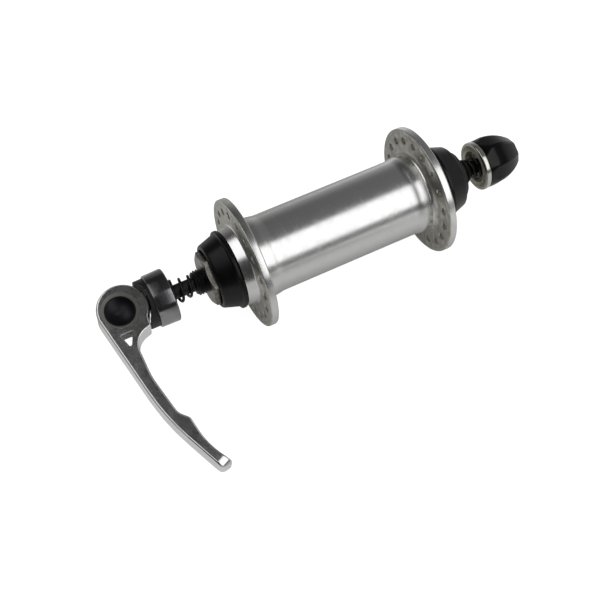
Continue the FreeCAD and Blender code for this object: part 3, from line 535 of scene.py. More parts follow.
@dataclass
class HubShell:
    """Turned aluminium shell: barrel, necks, two perforated flanges and their collars."""

    barrel: float = 14.0
    neck: float = 14.5
    neck_start: float = 26.5
    neck_level: float = 28.5
    flange_in: float = 33.1
    flange_out: float = 35.9
    flange: float = 23.4
    rim_round: float = 0.45
    root_round: float = 1.7
    collar: float = 13.7
    collar_foot: float = 14.35
    end: float = 39.8
    band: tuple[float, float] = (16.7, 21.5)
    ledge: float = 21.7
    spoke_circle: float = 19.2
    spoke_hole: float = 1.3
    spoke_mouth: float = 1.55
    holes: int = 18
    first_hole: dict[Side, float] = field(default_factory=lambda: {Side.LEFT: 8, Side.RIGHT: 18})
    side_steps: tuple[int, int] = (8, 5)
    bore: float = 9.5
    cup_bore: float = 11.5
    cup_seat: float = 29.0
    cap_bore: float = 12.4
    cap_seat: float = 36.9
    turned_line: tuple[float, float] = (0.05, 0.12)

    def build(self) -> None:
        """Makes the shell as one closed mesh, with its own finish on the flanges' faces."""
        skin = turned(self._barrel_profile(), closed=False)
        skin += turned(self._end_profile(), closed=False)
        for side in Side:
            skin += turned(mirrored(self._rim_profile(), side), closed=False)
        skin = skin.about_axle(self.first_hole[Side.LEFT] % (360 / SEGMENTS))
        for side in Side:
            skin += self._perforated(side)
        shell = add_piece("turned_shell", skin, [SHELL_ALUMINIUM, FLANGE_ALUMINIUM], "shell",
                          ["hub_shell"], sharp=24)
        self._dress(shell.data)

    def _barrel_profile(self) -> np.ndarray:
        """From one flange's inner face over the barrel to the other's."""
        return doubled(rounded([
            (self.barrel, 0, 0),
            (self.barrel, self.neck_start, 9),
            (self.neck, self.neck_level, 9),
            (self.neck, self.flange_in, self.root_round),
            (self.band[0], self.flange_in, 0),
        ], closed=False))

    def _rim_profile(self) -> np.ndarray:
        """Over the rim of a flange, with a fine turned line on both faces."""
        wide, deep = self.turned_line
        return rounded([
            (self.band[1], self.flange_in, 0),
            (self.ledge, self.flange_in, 0),
            (self.ledge + wide, self.flange_in + deep, 0),
            (self.ledge + 0.3, self.flange_in, 0),
            (self.flange, self.flange_in, self.rim_round),
            (self.flange, self.flange_out, self.rim_round),
            (self.ledge + 0.3, self.flange_out, 0),
            (self.ledge + wide, self.flange_out - deep, 0),
            (self.ledge, self.flange_out, 0),
            (self.band[1], self.flange_out, 0),
        ], closed=False)

    def _end_profile(self) -> np.ndarray:
        """From one flange's outer face over its collar, through the bore to the other's."""
        return doubled(rounded([
            (self.bore, 0, 0), (self.bore, self.cup_seat, 0), (self.cup_bore, self.cup_seat, 0),
            (self.cup_bore, self.cap_seat, 0), (self.cap_bore, self.cap_seat, 0),
            (self.cap_bore, self.end, 0.2),
            (self.collar, self.end, 0.3),
            (self.collar_foot, self.flange_out, 0.7),
            (self.band[0], self.flange_out, 0),
        ], closed=False))

    def _perforated(self, side: Side) -> Surface:
        """Both faces of a flange's hole band and the walls of its holes.

        Round each hole, the rim circle and the border of the hole's own share of the band are
        joined by rings that go evenly from one to the other.

        Args:
            side: the flange's side.

        Returns:
            The band with all its holes.
        """
        across, along = self.side_steps
        half_turn = math.pi / self.holes
        inner, outer = self.band
        span = np.linspace(-half_turn, half_turn, across + 1)
        reach = np.linspace(inner, outer, along + 1)
        border = np.concatenate([
            np.stack([np.full(across, inner), span[:-1]], 1),
            np.stack([reach[:-1], np.full(along, half_turn)], 1),
            np.stack([np.full(across, outer), span[:0:-1]], 1),
            np.stack([reach[:0:-1], np.full(along, -half_turn)], 1),
        ])
        flat = np.stack([border[:, 0] * np.cos(border[:, 1]),
                         border[:, 0] * np.sin(border[:, 1])], 1)
        way = unit(flat - (self.spoke_circle, 0))
        mouth = self.spoke_mouth * way + (self.spoke_circle, 0)
        throat = self.spoke_hole * way + (self.spoke_circle, 0)
        depth = self.spoke_mouth - self.spoke_hole
        low, high = self.flange_in, self.flange_out
        rings = [(flat, low), ((flat + mouth) / 2, low), (mouth, low), (throat, low + depth),
                 (throat, high - depth), (mouth, high), ((flat + mouth) / 2, high), (flat, high)]
        patch = np.stack([np.column_stack([xz[:, 0], np.full(len(xz), side.value * station),
                                           xz[:, 1]]) for xz, station in rings])
        cell = woven(patch, False)
        ring = cell.about_axle(self.first_hole[side])
        for index in range(1, self.holes):
            ring += cell.about_axle(self.first_hole[side] + 360 / self.holes * index)
        return ring

    def _dress(self, mesh: bpy.types.Mesh) -> None:
        """Gives the flanges, outside the necks and collars, their duller finish.

        Args:
            mesh: the shell's mesh.
        """
        centres = np.zeros(len(mesh.polygons) * 3)
        mesh.polygons.foreach_get("center", centres)
        centres = centres.reshape(-1, 3) / MM
        radius = np.hypot(centres[:, 0], centres[:, 2])
        on_face = (radius > self.band[0] - 2.0) & (radius < self.flange - 0.02)
        mesh.polygons.foreach_set("material_index", on_face.astype(np.int32))
        mesh.update()


@dataclass
class AxleGroup:
    """Axle with its threaded ends, and each side's locknut and rubber boot."""

    thread: float = 4.5
    pitch: float = 1.0
    thread_depth: float = 0.5
    thread_start: float = 46.4
    axle_end: float = 54.0
    bore: float = 2.6
    nut_in: float = 46.0
    nut_out: float = 50.0
    nut_flats: float = 17.0
    nut_turn: float = 3.0
    boot_start: float = 40.1

    def build(self) -> None:
        """Makes the axle, then the locknut and boot of each side."""
        add_piece("threaded_axle", self._axle(), [BLACK_STEEL], "axle_group",
                  ["axle"], sharp=70)
        for side, finish, slot in ((Side.LEFT, GREY_STEEL, "plain_steel"),
                                   (Side.RIGHT, BLACK_STEEL, "dark_steel")):
            add_piece(f"hexagon_locknut_{side.label}", self._locknut(side), [finish],
                      "axle_group", [f"locknut_{side.label}"], sharp=24)
            add_piece(f"moulded_boot_{side.label}", turned(mirrored(self._boot(), side)),
                      [BLACK_RUBBER], "axle_group",
                      [f"rubber_boot_{side.label}"])

    def _axle(self) -> Surface:
        """Tube whose outside is a screw thread at both ends.

        At a station, the radius is the thread's, less its depth times a wave that goes from 0
        to 1 and back in one pitch and is shifted by one pitch in a turn. The wave fades out at
        the inner end of the thread.

        Returns:
            The axle.
        """
        bevel, steps_a_pitch = 0.35, 14
        length = self.axle_end - bevel - self.thread_start
        station = np.linspace(self.thread_start, self.axle_end - bevel,
                              int(length / self.pitch * steps_a_pitch))[:, None]
        angle = full_turn(96)
        phase = (station / self.pitch - angle / (2 * math.pi)) % 1.0
        wave = np.clip(np.abs(2 * phase - 1) * 1.35 - 0.12, 0, 1)
        fade = np.clip((station - self.thread_start) / self.pitch, 0, 1)
        taper = np.clip((station - (self.axle_end - 1.0)) / 0.65, 0, 1) * bevel
        radius = self.thread - taper - (self.thread_depth - taper * 0.6) * wave * fade
        ring = 0 * angle
        end = [(self.thread - 0.85, self.axle_end), (self.bore + 0.25, self.axle_end),
               (self.bore, self.axle_end - 0.25)]
        outside = np.concatenate([self.thread + ring, radius] + [ring + r for r, _ in end])
        stations = np.concatenate([self.thread_start - 0.05 + ring, station + ring]
                                  + [ring + s for _, s in end])
        outside = np.concatenate([outside[::-1], outside])
        stations = np.concatenate([-stations[::-1], stations])
        return woven(about(outside, stations, angle), True)

    def _locknut(self, side: Side) -> Surface:
        """Hexagon nut whose outer face is turned off by a cone of 30 degrees.

        The hexagon's radius is half the flats / cos(angle from the nearest flat). The cone
        cuts it at the station where both radii are the same.

        Args:
            side: the nut's side.

        Returns:
            The locknut.
        """
        flat = self.nut_flats / 2
        angle = full_turn(240)
        off = (angle - math.radians(self.nut_turn) + math.pi / 6) % (math.pi / 3) - math.pi / 6
        hexagon = flat / np.cos(off)
        face = flat - 0.15
        cut = self.nut_out - (hexagon - face) * math.tan(math.radians(30))
        back = self.nut_in + (hexagon - face) * 0.25
        rows = [(self.thread, self.nut_in), (face, self.nut_in), (hexagon, back),
                (hexagon, cut), (face, self.nut_out), (5.9, self.nut_out),
                (5.7, self.nut_out - 0.12), (5.1, self.nut_out - 0.12),
                (self.thread, self.nut_out - 0.6)]
        return woven(np.concatenate([about(radius, side.value * station, angle)
                                     for radius, station in rows]), True)

    def _boot(self) -> np.ndarray:
        """Profile of the rubber boot: lip, step, tapered side, and the locknut's pocket."""
        start = self.boot_start
        return rounded([
            (7.6, start + 2.4, 0), (12.55, start + 1.2, 0.3), (12.55, start, 0.2),
            (14.15, start, 0.35), (14.15, start + 1.4, 0.35), (13.3, start + 1.6, 0.25),
            (11.3, start + 7.8, 1.1), (10.1, start + 7.8, 0.2), (10.1, self.nut_in, 0.3),
            (7.6, self.nut_in, 0),
        ])


@dataclass
class Skewer:
    """Rod, cam pin, lever, saddle, clamping cup, springs and adjusting nut."""

    tilt: float = 17.7
    pin_place: float = 80.65
    throw: float = 1.0
    drum: float = 8.8
    pin: float = 5.25
    pin_bore: float = 5.3
    pin_half: float = 3.8
    pin_dish: float = 1.5
    lever_half: float = 4.75
    rod: float = 2.5
    rod_ends: tuple[float, float] = (-68.0, 84.45)
    saddle: tuple[float, float] = (2.6, 8.6)
    saddle_top: float = 7.8
    saddle_gap: float = 0.35
    groove: float = 12.0
    cup_face: float = 62.6
    cup_back: float = 69.6
    cup_recess: float = 1.2
    cup_teeth: tuple[int, float] = (36, 0.3)
    knob_face: float = 57.5
    core_teeth: tuple[int, float] = (60, 0.14)
    grip_flats: int = 8
    grip_flat: float = 8.85
    grip_turn: float = 31.0
    dome: float = 17.0
    wire: float = 0.5
    coil_small: float = 3.35
    drum_ends: tuple[float, float] = (230.0, 459.0)
    arm: tuple[Corner, ...] = (
        (39.2, -1.4, 80), (62.3, 8.7, 2), (61.6, 13.2, 1.2), (53.2, 7.85, 28),
        (42.5, 6.35, 1.8), (39.4, 3.4, 4), (25.2, 0.6, 25), (10.9, 0.65, 6.5), (9.1, 7.35, 1),
    )
    tip_way: tuple[float, float] = (0.9164, 0.4003)
    edge: float = 0.7
    border: float = 0.82
    tip_start: float = 57.4
    tip_roll: float = 4.3
    tip_fall: float = 4.4
    window: tuple[Corner, ...] = ((-8.2, 3.2, 0.4), (-13.5, 1.6, 0.5), (-8.2, -1.15, 0.4))
    window_draft: float = 0.95
    window_reach: float = 3.9
    brim: float = 0.12
    slot_half: float = 2.8
    slot_reach: float = 17.0
    open_turn: float = 165.0

    def build(self) -> None:
        """Makes each piece of the skewer."""
        right, left = self.rod_ends
        rod = rounded([(0, right, 0), (self.rod, right, 0.4), (self.rod, left, 0.4),
                       (0, left, 0)], closed=False)
        add_piece("rod", turned(rod, closed=False, segments=64), [BLACK_STEEL], "skewer",
                  ["skewer_rod"])
        add_piece("dished_pin", self._pin(), [DARK_STEEL], "skewer", ["cam_pin"])
        add_piece("saddle", self._saddle(), [BLACK_PLASTIC], "clamp",
                  ["cam_saddle"])
        add_piece("clamping_cup", self._cup(), [DARK_CHROME], "clamp",
                  ["clamp_cup"])
        core = add_piece("nut_core", self._core(), [BRIGHT_CHROME, TOOTH_STEEL], "nut",
                         ["adjusting_nut_core"])
        for face in core.data.polygons:
            x, y, z = (number / MM for number in face.center)
            toothed = -self.knob_face - 3.0 < y and math.hypot(x, z) < 8.1
            face.material_index = int(toothed)
        add_piece("nut_grip", self._grip(), [GLOSS_PLASTIC], "nut",
                  ["adjusting_nut_grip"], sharp=14)
        add_piece("coil_left", self._coil(1, 54.6, 66.4, 3.75, 6.2), [SPRING_WIRE], "left_spring",
                  ["spring_left"], stretch=(55.1, 65.9))
        add_piece("coil_right", self._coil(-1, 54.6, 58.65, 1.9, 4.3), [SPRING_WIRE],
                  "left_spring", ["spring_right"], stretch=(-55.1, -58.15))
        self._lever()

    def leant(self, surface: Surface) -> Surface:
        """A surface of the skewer turned to lie as the closed lever does."""
        return surface.about_axle(self.tilt)

    def _pin(self) -> Surface:
        """Pin turned about the cam's axis, its ends dished by a shallow ball.

        The ball's radius is (rim^2 + depth^2) / (2 * depth).

        Returns:
            The pin.
        """
        rim = self.pin - 0.35
        reach = np.linspace(0, rim, 17)
        ball = (rim * rim + self.pin_dish ** 2) / (2 * self.pin_dish)
        depth = self.pin_dish - (ball - np.sqrt(ball * ball - reach * reach))
        half = np.column_stack([reach, self.pin_half - depth])
        edge = np.array([(self.pin - 0.12, self.pin_half), (self.pin, self.pin_half - 0.15)])
        half = np.concatenate([half, edge])
        profile = np.concatenate([half * (1, -1), half[::-1]])
        pin = turned(profile, closed=False, segments=96).axis_to_cam()
        return self.leant(pin.moved((0, self.pin_place, 0)))

    def _saddle(self) -> Surface:
        """Saddle with a groove for the cam.

        The top is the lower of its rim and the groove's cylinder, whose height over its lowest
        line is radius - sqrt(radius^2 - x^2).

        Returns:
            The saddle.
        """
        angle = full_turn(128)
        inner, outer = self.saddle
        reach = np.concatenate([[inner], np.linspace(inner + 0.1, outer - 0.1, 24), [outer]])
        reach = np.concatenate([reach, [outer, inner]])[:, None]
        x = reach * np.cos(angle)
        bottom = self.pin_place - self.throw - self.drum - self.saddle_gap
        groove = bottom + self.groove - np.sqrt(self.groove ** 2 - x * x)
        top = np.minimum(self.pin_place - self.saddle_top, groove) - (reach > outer - 0.05) * 0.12
        top[-2:] = self.cup_back - self.cup_recess
        return self.leant(woven(about(reach, top, angle), True))

    def _cup(self) -> Surface:
        """Clamping cup: turned, with radial teeth on the face that grips the fork.

        Returns:
            The cup.
        """
        front, back = self.cup_face, self.cup_back
        profile = rounded([
            (7.2, front, 0.15), (7.5, front, 0), (8.55, front, 0), (9.45, front, 0.55),
            (9.3, back, 0.3), (8.65, back, 0.12), (8.65, back - self.cup_recess, 0),
            (2.7, back - self.cup_recess, 0),
            (2.7, front + 4.4, 0), (7.2, front + 4.4, 0.4),
        ])
        return self._toothed(turned(profile, segments=288), front, (7.5, 8.7), 1, *self.cup_teeth)

    def _core(self) -> Surface:
        """Steel core of the adjusting nut, its face toothed as the cup's.

        Returns:
            The core.
        """
        face = self.knob_face
        profile = rounded([
            (6.0, face, 0.2), (6.35, face, 0), (7.1, face, 0), (7.9, face, 0), (8.1, face, 0),
            (9.05, face, 0.45),
            (9.05, face + 1.9, 0.35), (6.8, face + 1.9, 0), (6.8, face + 12, 0),
            (2.55, face + 12, 0), (2.55, face + 3.3, 0), (6.0, face + 3.3, 0.3),
        ]) * (1, -1)
        return self._toothed(turned(profile, segments=480), -face, (6.3, 8.0), -1,
                             *self.core_teeth)

    @staticmethod
    def _toothed(surface: Surface, face: float, band: tuple[float, float], way: int,
                 teeth: int, depth: float) -> Surface:
        """Sinks the valleys of a band of a face, which makes radial teeth.

        A point on the face between the two radii goes into it by the depth times a wave that
        rises from 0 to 1 and falls back once in each tooth.

        Args:
            surface: the turned piece.
            face: the face's station.
            band: the band's inner and outer radius.
            way: 1 where the piece lies at higher stations than its face, else -1.
            teeth: how many teeth go round.
            depth: how deep the valleys are.

        Returns:
            The toothed piece.
        """
        points = surface.points.copy()
        radius = np.hypot(points[:, 0], points[:, 2])
        share = (np.arctan2(points[:, 2], points[:, 0]) / (2 * math.pi) * teeth) % 1.0
        chosen = (np.abs(points[:, 1] - face) < 1e-6) & (radius > band[0]) & (radius < band[1])
        points[:, 1] += way * depth * np.abs(2 * share - 1) * chosen
        return Surface(points, surface.faces)

    def _grip(self) -> Surface:
        """Domed grip with eight finger flats, which run on over the dome.

        A station's profile radius is cut to the flats where it is larger. The flat's half
        angle is acos(flat distance / radius), so the columns of each eighth are shared out
        between the flat and the round land next to it, and edges run along columns.

        Returns:
            The grip.
        """
        face, top = self.knob_face, self.knob_face + 16.1
        foot = rounded([
            (6.8, face + 1.9, 0), (8.9, face + 1.9, 0.25), (9.3, face + 5.1, 0),
        ], closed=False)
        dome = self._dome(np.array([9.3, face + 5.1]), np.array([5.0, top]))
        cap = np.array([(4.4, top), (2.0, top), (0.0, top)])
        inside = np.array([(0.0, face + 13.6), (2.6, face + 13.6), (2.6, face + 12),
                           (6.8, face + 12)])
        profile = np.concatenate([foot[:-1], dome, cap, inside])
        radius, station = profile[:, :1], profile[:, 1:]
        faceted = station > face + 2.4
        faceted[-len(inside):] = False
        flat = np.where(faceted, np.minimum(self.grip_flat, radius * 0.95), radius)
        half = np.clip(np.arccos(np.clip(flat / np.maximum(radius, 1e-6), 0, 1)), 0.02, 0.36)
        part = 2 * math.pi / self.grip_flats
        land = np.linspace(0, 1, 8)[None, 1:-1]
        angle = np.concatenate([half * np.linspace(-1, 1, 11)[None],
                                half + (part - 2 * half) * land], 1)
        cut = np.where(faceted & (np.abs(angle) <= half + 1e-9),
                       np.minimum(radius, flat / np.cos(angle)), radius)
        angles = [angle + part * index for index in range(self.grip_flats)]
        whole = np.concatenate(angles, 1) + math.radians(self.grip_turn)
        return woven(about(np.tile(cut, (1, self.grip_flats)), -station, whole), True)

    def _dome(self, start: np.ndarray, finish: np.ndarray) -> np.ndarray:
        """Arc of the grip's dome.

        Its centre is off the chord's middle by sqrt(dome radius^2 - (chord / 2)^2).

        Args:
            start: the (radius, station) point where it starts.
            finish: the point where it ends.

        Returns:
            The arc's (radius, station) points.
        """
        chord = finish - start
        half = np.linalg.norm(chord) / 2
        normal = np.array([chord[1], -chord[0]]) / (2 * half)
        centre = (start + finish) / 2 - normal * math.sqrt(self.dome ** 2 - half * half)
        first, last = (math.atan2(*(point - centre)[::-1]) for point in (start, finish))
        bend = np.linspace(first, last, 28)
        return centre + self.dome * np.column_stack([np.cos(bend), np.sin(bend)])

    def _coil(self, side: int, start: float, finish: float, turns: float,
              large: float) -> Surface:
        """Conical spring: a round wire along a spiral.

        At a share t of its length the wire's centre is (r cos a, station, r sin a), where the
        radius r grows with t squared and the angle a with t.

        Args:
            side: 1 on the lever's side of the hub, else -1.
            start: the station of its small end.
            finish: the station of its large end.
            turns: how often it goes round.
            large: the radius of its large end.

        Returns:
            The spring.
        """
        share = np.linspace(0, 1, int(turns * 40) + 1)[:, None]
        angle = 2 * math.pi * turns * share
        radius = self.coil_small + (large - self.coil_small) * share ** 2
        outward = np.concatenate([np.cos(angle), 0 * angle, np.sin(angle)], 1)
        centre = outward * radius + np.array([0, side, 0]) * (start + (finish - start) * share)
        run = unit(np.gradient(centre, axis=0))
        sideways = unit(np.cross(run, outward))
        lift = np.cross(sideways, run)
        around = full_turn(16)[..., None]
        ring = lift[:, None] * np.cos(around) + sideways[:, None] * np.sin(around)
        points = centre[:, None] + self.wire * ring
        spring = woven(points, False)
        for end in (0, -1):
            spring += woven(np.stack([centre[end] + 0 * points[end], points[end]]), False)
        return spring

    def _outline(self) -> np.ndarray:
        """The lever's side view: most of the drum's circle, then the arm.

        Returns:
            The outline's (x, y) points.
        """
        angles = np.linspace(*np.radians(self.drum_ends), 60)
        drum = self.drum * np.column_stack([np.cos(angles), np.sin(angles)])
        drum += (0, self.pin_place - self.throw)
        arm = [(-along, self.pin_place - across, radius) for along, across, radius in self.arm]
        ends = [(*drum[-1], 0.0), *arm, (*drum[0], 0.0)]
        return np.concatenate([drum, rounded(ends, closed=False, turn=0.08)[1:-1]])

    @staticmethod
    def _inset(outline: np.ndarray, amount: float) -> np.ndarray:
        """An outline moved along each point's own normal.

        Args:
            outline: its (x, y) points.
            amount: how far it moves inwards if it runs anticlockwise, else outwards.

        Returns:
            The moved points.
        """
        ahead = unit(np.roll(outline, -1, 0) - outline)
        back = unit(outline - np.roll(outline, 1, 0))
        left = np.array([(0, 1), (-1, 0)])
        inward = unit((ahead + back) @ left)
        lean = (inward * (ahead @ left)).sum(1, keepdims=True)
        return outline + inward * amount / np.maximum(lean, 0.5)

    @staticmethod
    def _levelled(rings: Iterable[tuple[np.ndarray, float]]) -> np.ndarray:
        """Rows of points from outlines and the level of each."""
        return np.stack([np.column_stack([xy, np.full(len(xy), level)]) for xy, level in rings])

    def _lever(self) -> None:
        """Makes the forged lever: two faces filled between its rings, and walls between them.

        Each edge is a quarter of a circle.
        """
        outline = self._outline()
        rings = []
        for bend in np.linspace(0, math.pi / 2, 9):
            rings.append((self._inset(outline, self.edge * (1 - math.cos(bend))),
                          self.lever_half - self.edge * (1 - math.sin(bend))))
        rings.append((self._inset(outline, self.border), self.lever_half))
        upper = self._levelled(rings)
        outside = np.concatenate([upper[::-1], upper * (1, 1, -1)])
        window = rounded(self.window, turn=0.3) + (0, self.pin_place)
        window_rings = self._hole_rings(window, 0.3, 0.3)
        draft = (window[:, 0] - window[:, 0].min()) / np.ptp(window[:, 0]) * self.window_draft
        window_rings[3:, :, 0] += draft
        circle = full_turn(96)[0]
        bore = self.pin_bore * np.column_stack([np.cos(circle), np.sin(circle)])
        bore_rings = self._hole_rings(bore + (0, self.pin_place), 1.05, 1.0)
        lever = self._slotted(self._filled([outside, window_rings, bore_rings]))
        # The third finish is painted shade on the window's walls, the fourth a painted highlight
        # on the edges.
        piece = add_piece("forged_lever", lever,
                          [LEVER_ALUMINIUM, BORE_STEEL, SHADED_WALL, EDGE_HIGHLIGHT], "lever",
                          ["lever"], sharp=20)
        self._dress_bevel(piece.data)

    def _dress_bevel(self, mesh: bpy.types.Mesh) -> None:
        """Gives the bore's bevels their finish, the window's walls a near-black painted shade and
        the leaning edges a pale painted highlight.

        A bevel lies at the bore's mouth. A wall, painted shade, is steep, near the window's middle
        and faces it. An edge face, a painted highlight, leans, and isn't part of the rolled tip.

        Args:
            mesh: the lever's mesh.
        """
        turn = math.radians(self.tilt)
        side_view = np.array([(math.cos(turn), 0, math.sin(turn)), (0, 1, 0)])
        level_way = np.array([-math.sin(turn), 0, math.cos(turn)])
        middle = np.array(self.window)[:, :2].mean(0)
        for face in mesh.polygons:
            centre, normal = np.array(face.center) / MM, np.array(face.normal)
            place = side_view @ centre - (0, self.pin_place)
            away, level = math.hypot(*place), abs(level_way @ centre)
            bevel = self.pin_bore < away < self.pin_bore + 1.0 and (
                self.lever_half - 0.95 < level < self.lever_half - 0.02)
            off = place - middle
            flatness = abs(level_way @ normal)
            # Walls facing into the window get the near-black finish: painted shade.
            wall = math.hypot(*off) < self.window_reach and (
                off @ (side_view @ normal) < 0 and flatness < 0.4)
            # Leaning edge faces get the pale finish: a painted highlight.
            edge = 0.42 < flatness < 0.985 and (
                place[0] > -self.tip_start * self.tip_way[0] + 1.0)
            face.material_index = 1 if bevel else 2 if wall else 3 if edge else 0

    def _hole_rings(self, outline: np.ndarray, widen: float, depth: float) -> np.ndarray:
        """Rings of a hole's wall, bevelled at both faces.

        Args:
            outline: the hole's (x, y) points.
            widen: how much wider the hole is at the faces.
            depth: how deep its bevels are.

        Returns:
            An array of rings of points, from one face to the other.
        """
        mouth = max((self._inset(outline, way * widen) for way in (-1, 1)),
                    key=lambda ring: np.ptp(ring[:, 0]))
        half = self.lever_half
        brim = mouth + (mouth - outline) / widen * self.brim
        return self._levelled([(brim, half), (mouth, half), (outline, half - depth),
                               (outline, depth - half), (mouth, -half), (brim, -half)])

    def _filled(self, stacks: list[np.ndarray]) -> bpy.types.Mesh:
        """A mesh from stacks of rings, with both flat faces filled between their end rings.

        Args:
            stacks: arrays of rings of points, for the outside and for each hole.

        Returns:
            The mesh, rolled at its tip and turned to the closed lever's lie.
        """
        work = bmesh.new()
        for stack in stacks:
            rows, columns = stack.shape[:2]
            verts = [work.verts.new(point) for point in (stack.reshape(-1, 3) * MM).tolist()]
            for face in grid_faces(rows, columns, False, True).tolist():
                work.faces.new([verts[number] for number in face])
        open_edges = [edge for edge in work.edges if len(edge.link_faces) == 1]
        for hand in (1, -1):
            chosen = [edge for edge in open_edges if edge.verts[0].co.z * hand > 0]
            bmesh.ops.triangle_fill(work, use_beauty=True, use_dissolve=False, edges=chosen)
        self._roll_tip(work)
        bmesh.ops.rotate(work, verts=work.verts, cent=(0, 0, 0),
                         matrix=Matrix.Rotation(-math.radians(self.tilt), 3, "Y"))
        bmesh.ops.remove_doubles(work, verts=work.verts, dist=1e-6)
        bmesh.ops.recalc_face_normals(work, faces=work.faces)
        mesh = bpy.data.meshes.new("forged_lever")
        work.to_mesh(mesh)
        work.free()
        return mesh

    def _roll_tip(self, work: bmesh.types.BMesh) -> None:
        """Rolls both faces over towards the end of the arm.

        Past a start, the half thickness falls as a quarter of an ellipse, of the distance that
        is left to the end. Cuts across the arm give the faces the points that this needs.

        Args:
            work: the lever's mesh, changed in place.
        """
        heading = unit(self.tip_way)
        normal = (-heading[0], -heading[1], 0.0)
        for bend in range(0, 90, 6):
            reach = self.tip_start + self.tip_roll * math.sin(math.radians(bend))
            place = np.array([*(-heading * reach), 0.0]) + (0, self.pin_place, 0)
            bmesh.ops.bisect_plane(work, geom=work.verts[:] + work.edges[:] + work.faces[:],
                                   dist=1e-7, plane_co=(place * MM).tolist(), plane_no=normal)
        for vert in work.verts:
            along, across = -vert.co.x / MM, self.pin_place - vert.co.y / MM
            past = (along * heading[0] + across * heading[1] - self.tip_start) / self.tip_roll
            fall = self.tip_fall * (1 - math.sqrt(1 - min(max(past, 0), 1) ** 2))
            vert.co.z *= 1 - fall / self.lever_half

    def _slotted(self, lever: bpy.types.Mesh) -> bpy.types.Mesh:
        """A lever without the flat wedge of space that the rod needs from closed to open.

        Args:
            lever: the lever's mesh.

        Returns:
            The slotted mesh.
        """
        half, reach, turn = self.slot_half, self.slot_reach, math.radians(self.open_turn)
        corners = np.array([
            (-half, 0), (-half, -reach), (reach, -reach), (reach, reach),
            (half * math.cos(turn) + reach * math.sin(turn),
             half * math.sin(turn) - reach * math.cos(turn)),
            (half * math.cos(turn), half * math.sin(turn)),
        ]) + (0, self.pin_place)
        space = self.leant(woven(self._levelled([(corners, -half), (corners, half)]), False))
        ends = np.arange(2 * len(corners)).reshape(2, -1).tolist()
        cutter = placed("slot_space", space.mesh("slot_space", ends))
        whole = placed("whole_lever", lever)
        cut = whole.modifiers.new("slot", "BOOLEAN")
        cut.operation = "DIFFERENCE"
        cut.solver = "EXACT"
        cut.object = cutter
        bpy.context.view_layer.update()
        seen = whole.evaluated_get(bpy.context.evaluated_depsgraph_get())
        slotted = bpy.data.meshes.new_from_object(seen)
        bpy.data.objects.remove(whole)
        bpy.data.objects.remove(cutter)
        return slotted


@dataclass
class InnerPieces:
    """The CAD nodes that stay as they are and only get a finish."""

    finishes: dict[str, Finish] = field(default_factory=lambda: {
        "bearing_cup": BEARING_STEEL, "bearing_balls": BEARING_STEEL, "cone": BEARING_STEEL,
        "dust_cap": CAP_STEEL, "lock_washer": GREY_STEEL,
    })

    def dress(self) -> None:
        """Gives each node of both sides its finish."""
        for stem, finish in self.finishes.items():
            for side in Side:
                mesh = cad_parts[f"{stem}_{side.label}"].data
                mesh.materials.clear()
                mesh.materials.append(finish.material())
                log.info("%s_%s: dressed", stem, side.label)


@dataclass(frozen=True)
class Lamp:
    """A rectangular lamp that faces the hub.

    Attributes:
        name: the lamp's name.
        way: its direction from the hub.
        distance: how far it is from the hub, in millimetres.
        size: its sides, in millimetres.
        power: in watts.
    """

    name: str
    way: tuple[float, float, float]
    distance: float
    size: tuple[float, float]
    power: float

    def build(self) -> None:
        """Puts the lamp into the scene."""
        data = bpy.data.lights.new(self.name, "AREA")
        data.shape = "RECTANGLE"
        data.size, data.size_y = (side * MM for side in self.size)
        data.energy = self.power
        back = unit(self.way)
        side = unit(np.cross((0.0, 1.0, 0.0), back))
        lamp = placed(self.name, data)
        lamp.matrix_world = pose((side, np.cross(back, side), back), back * self.distance * MM)


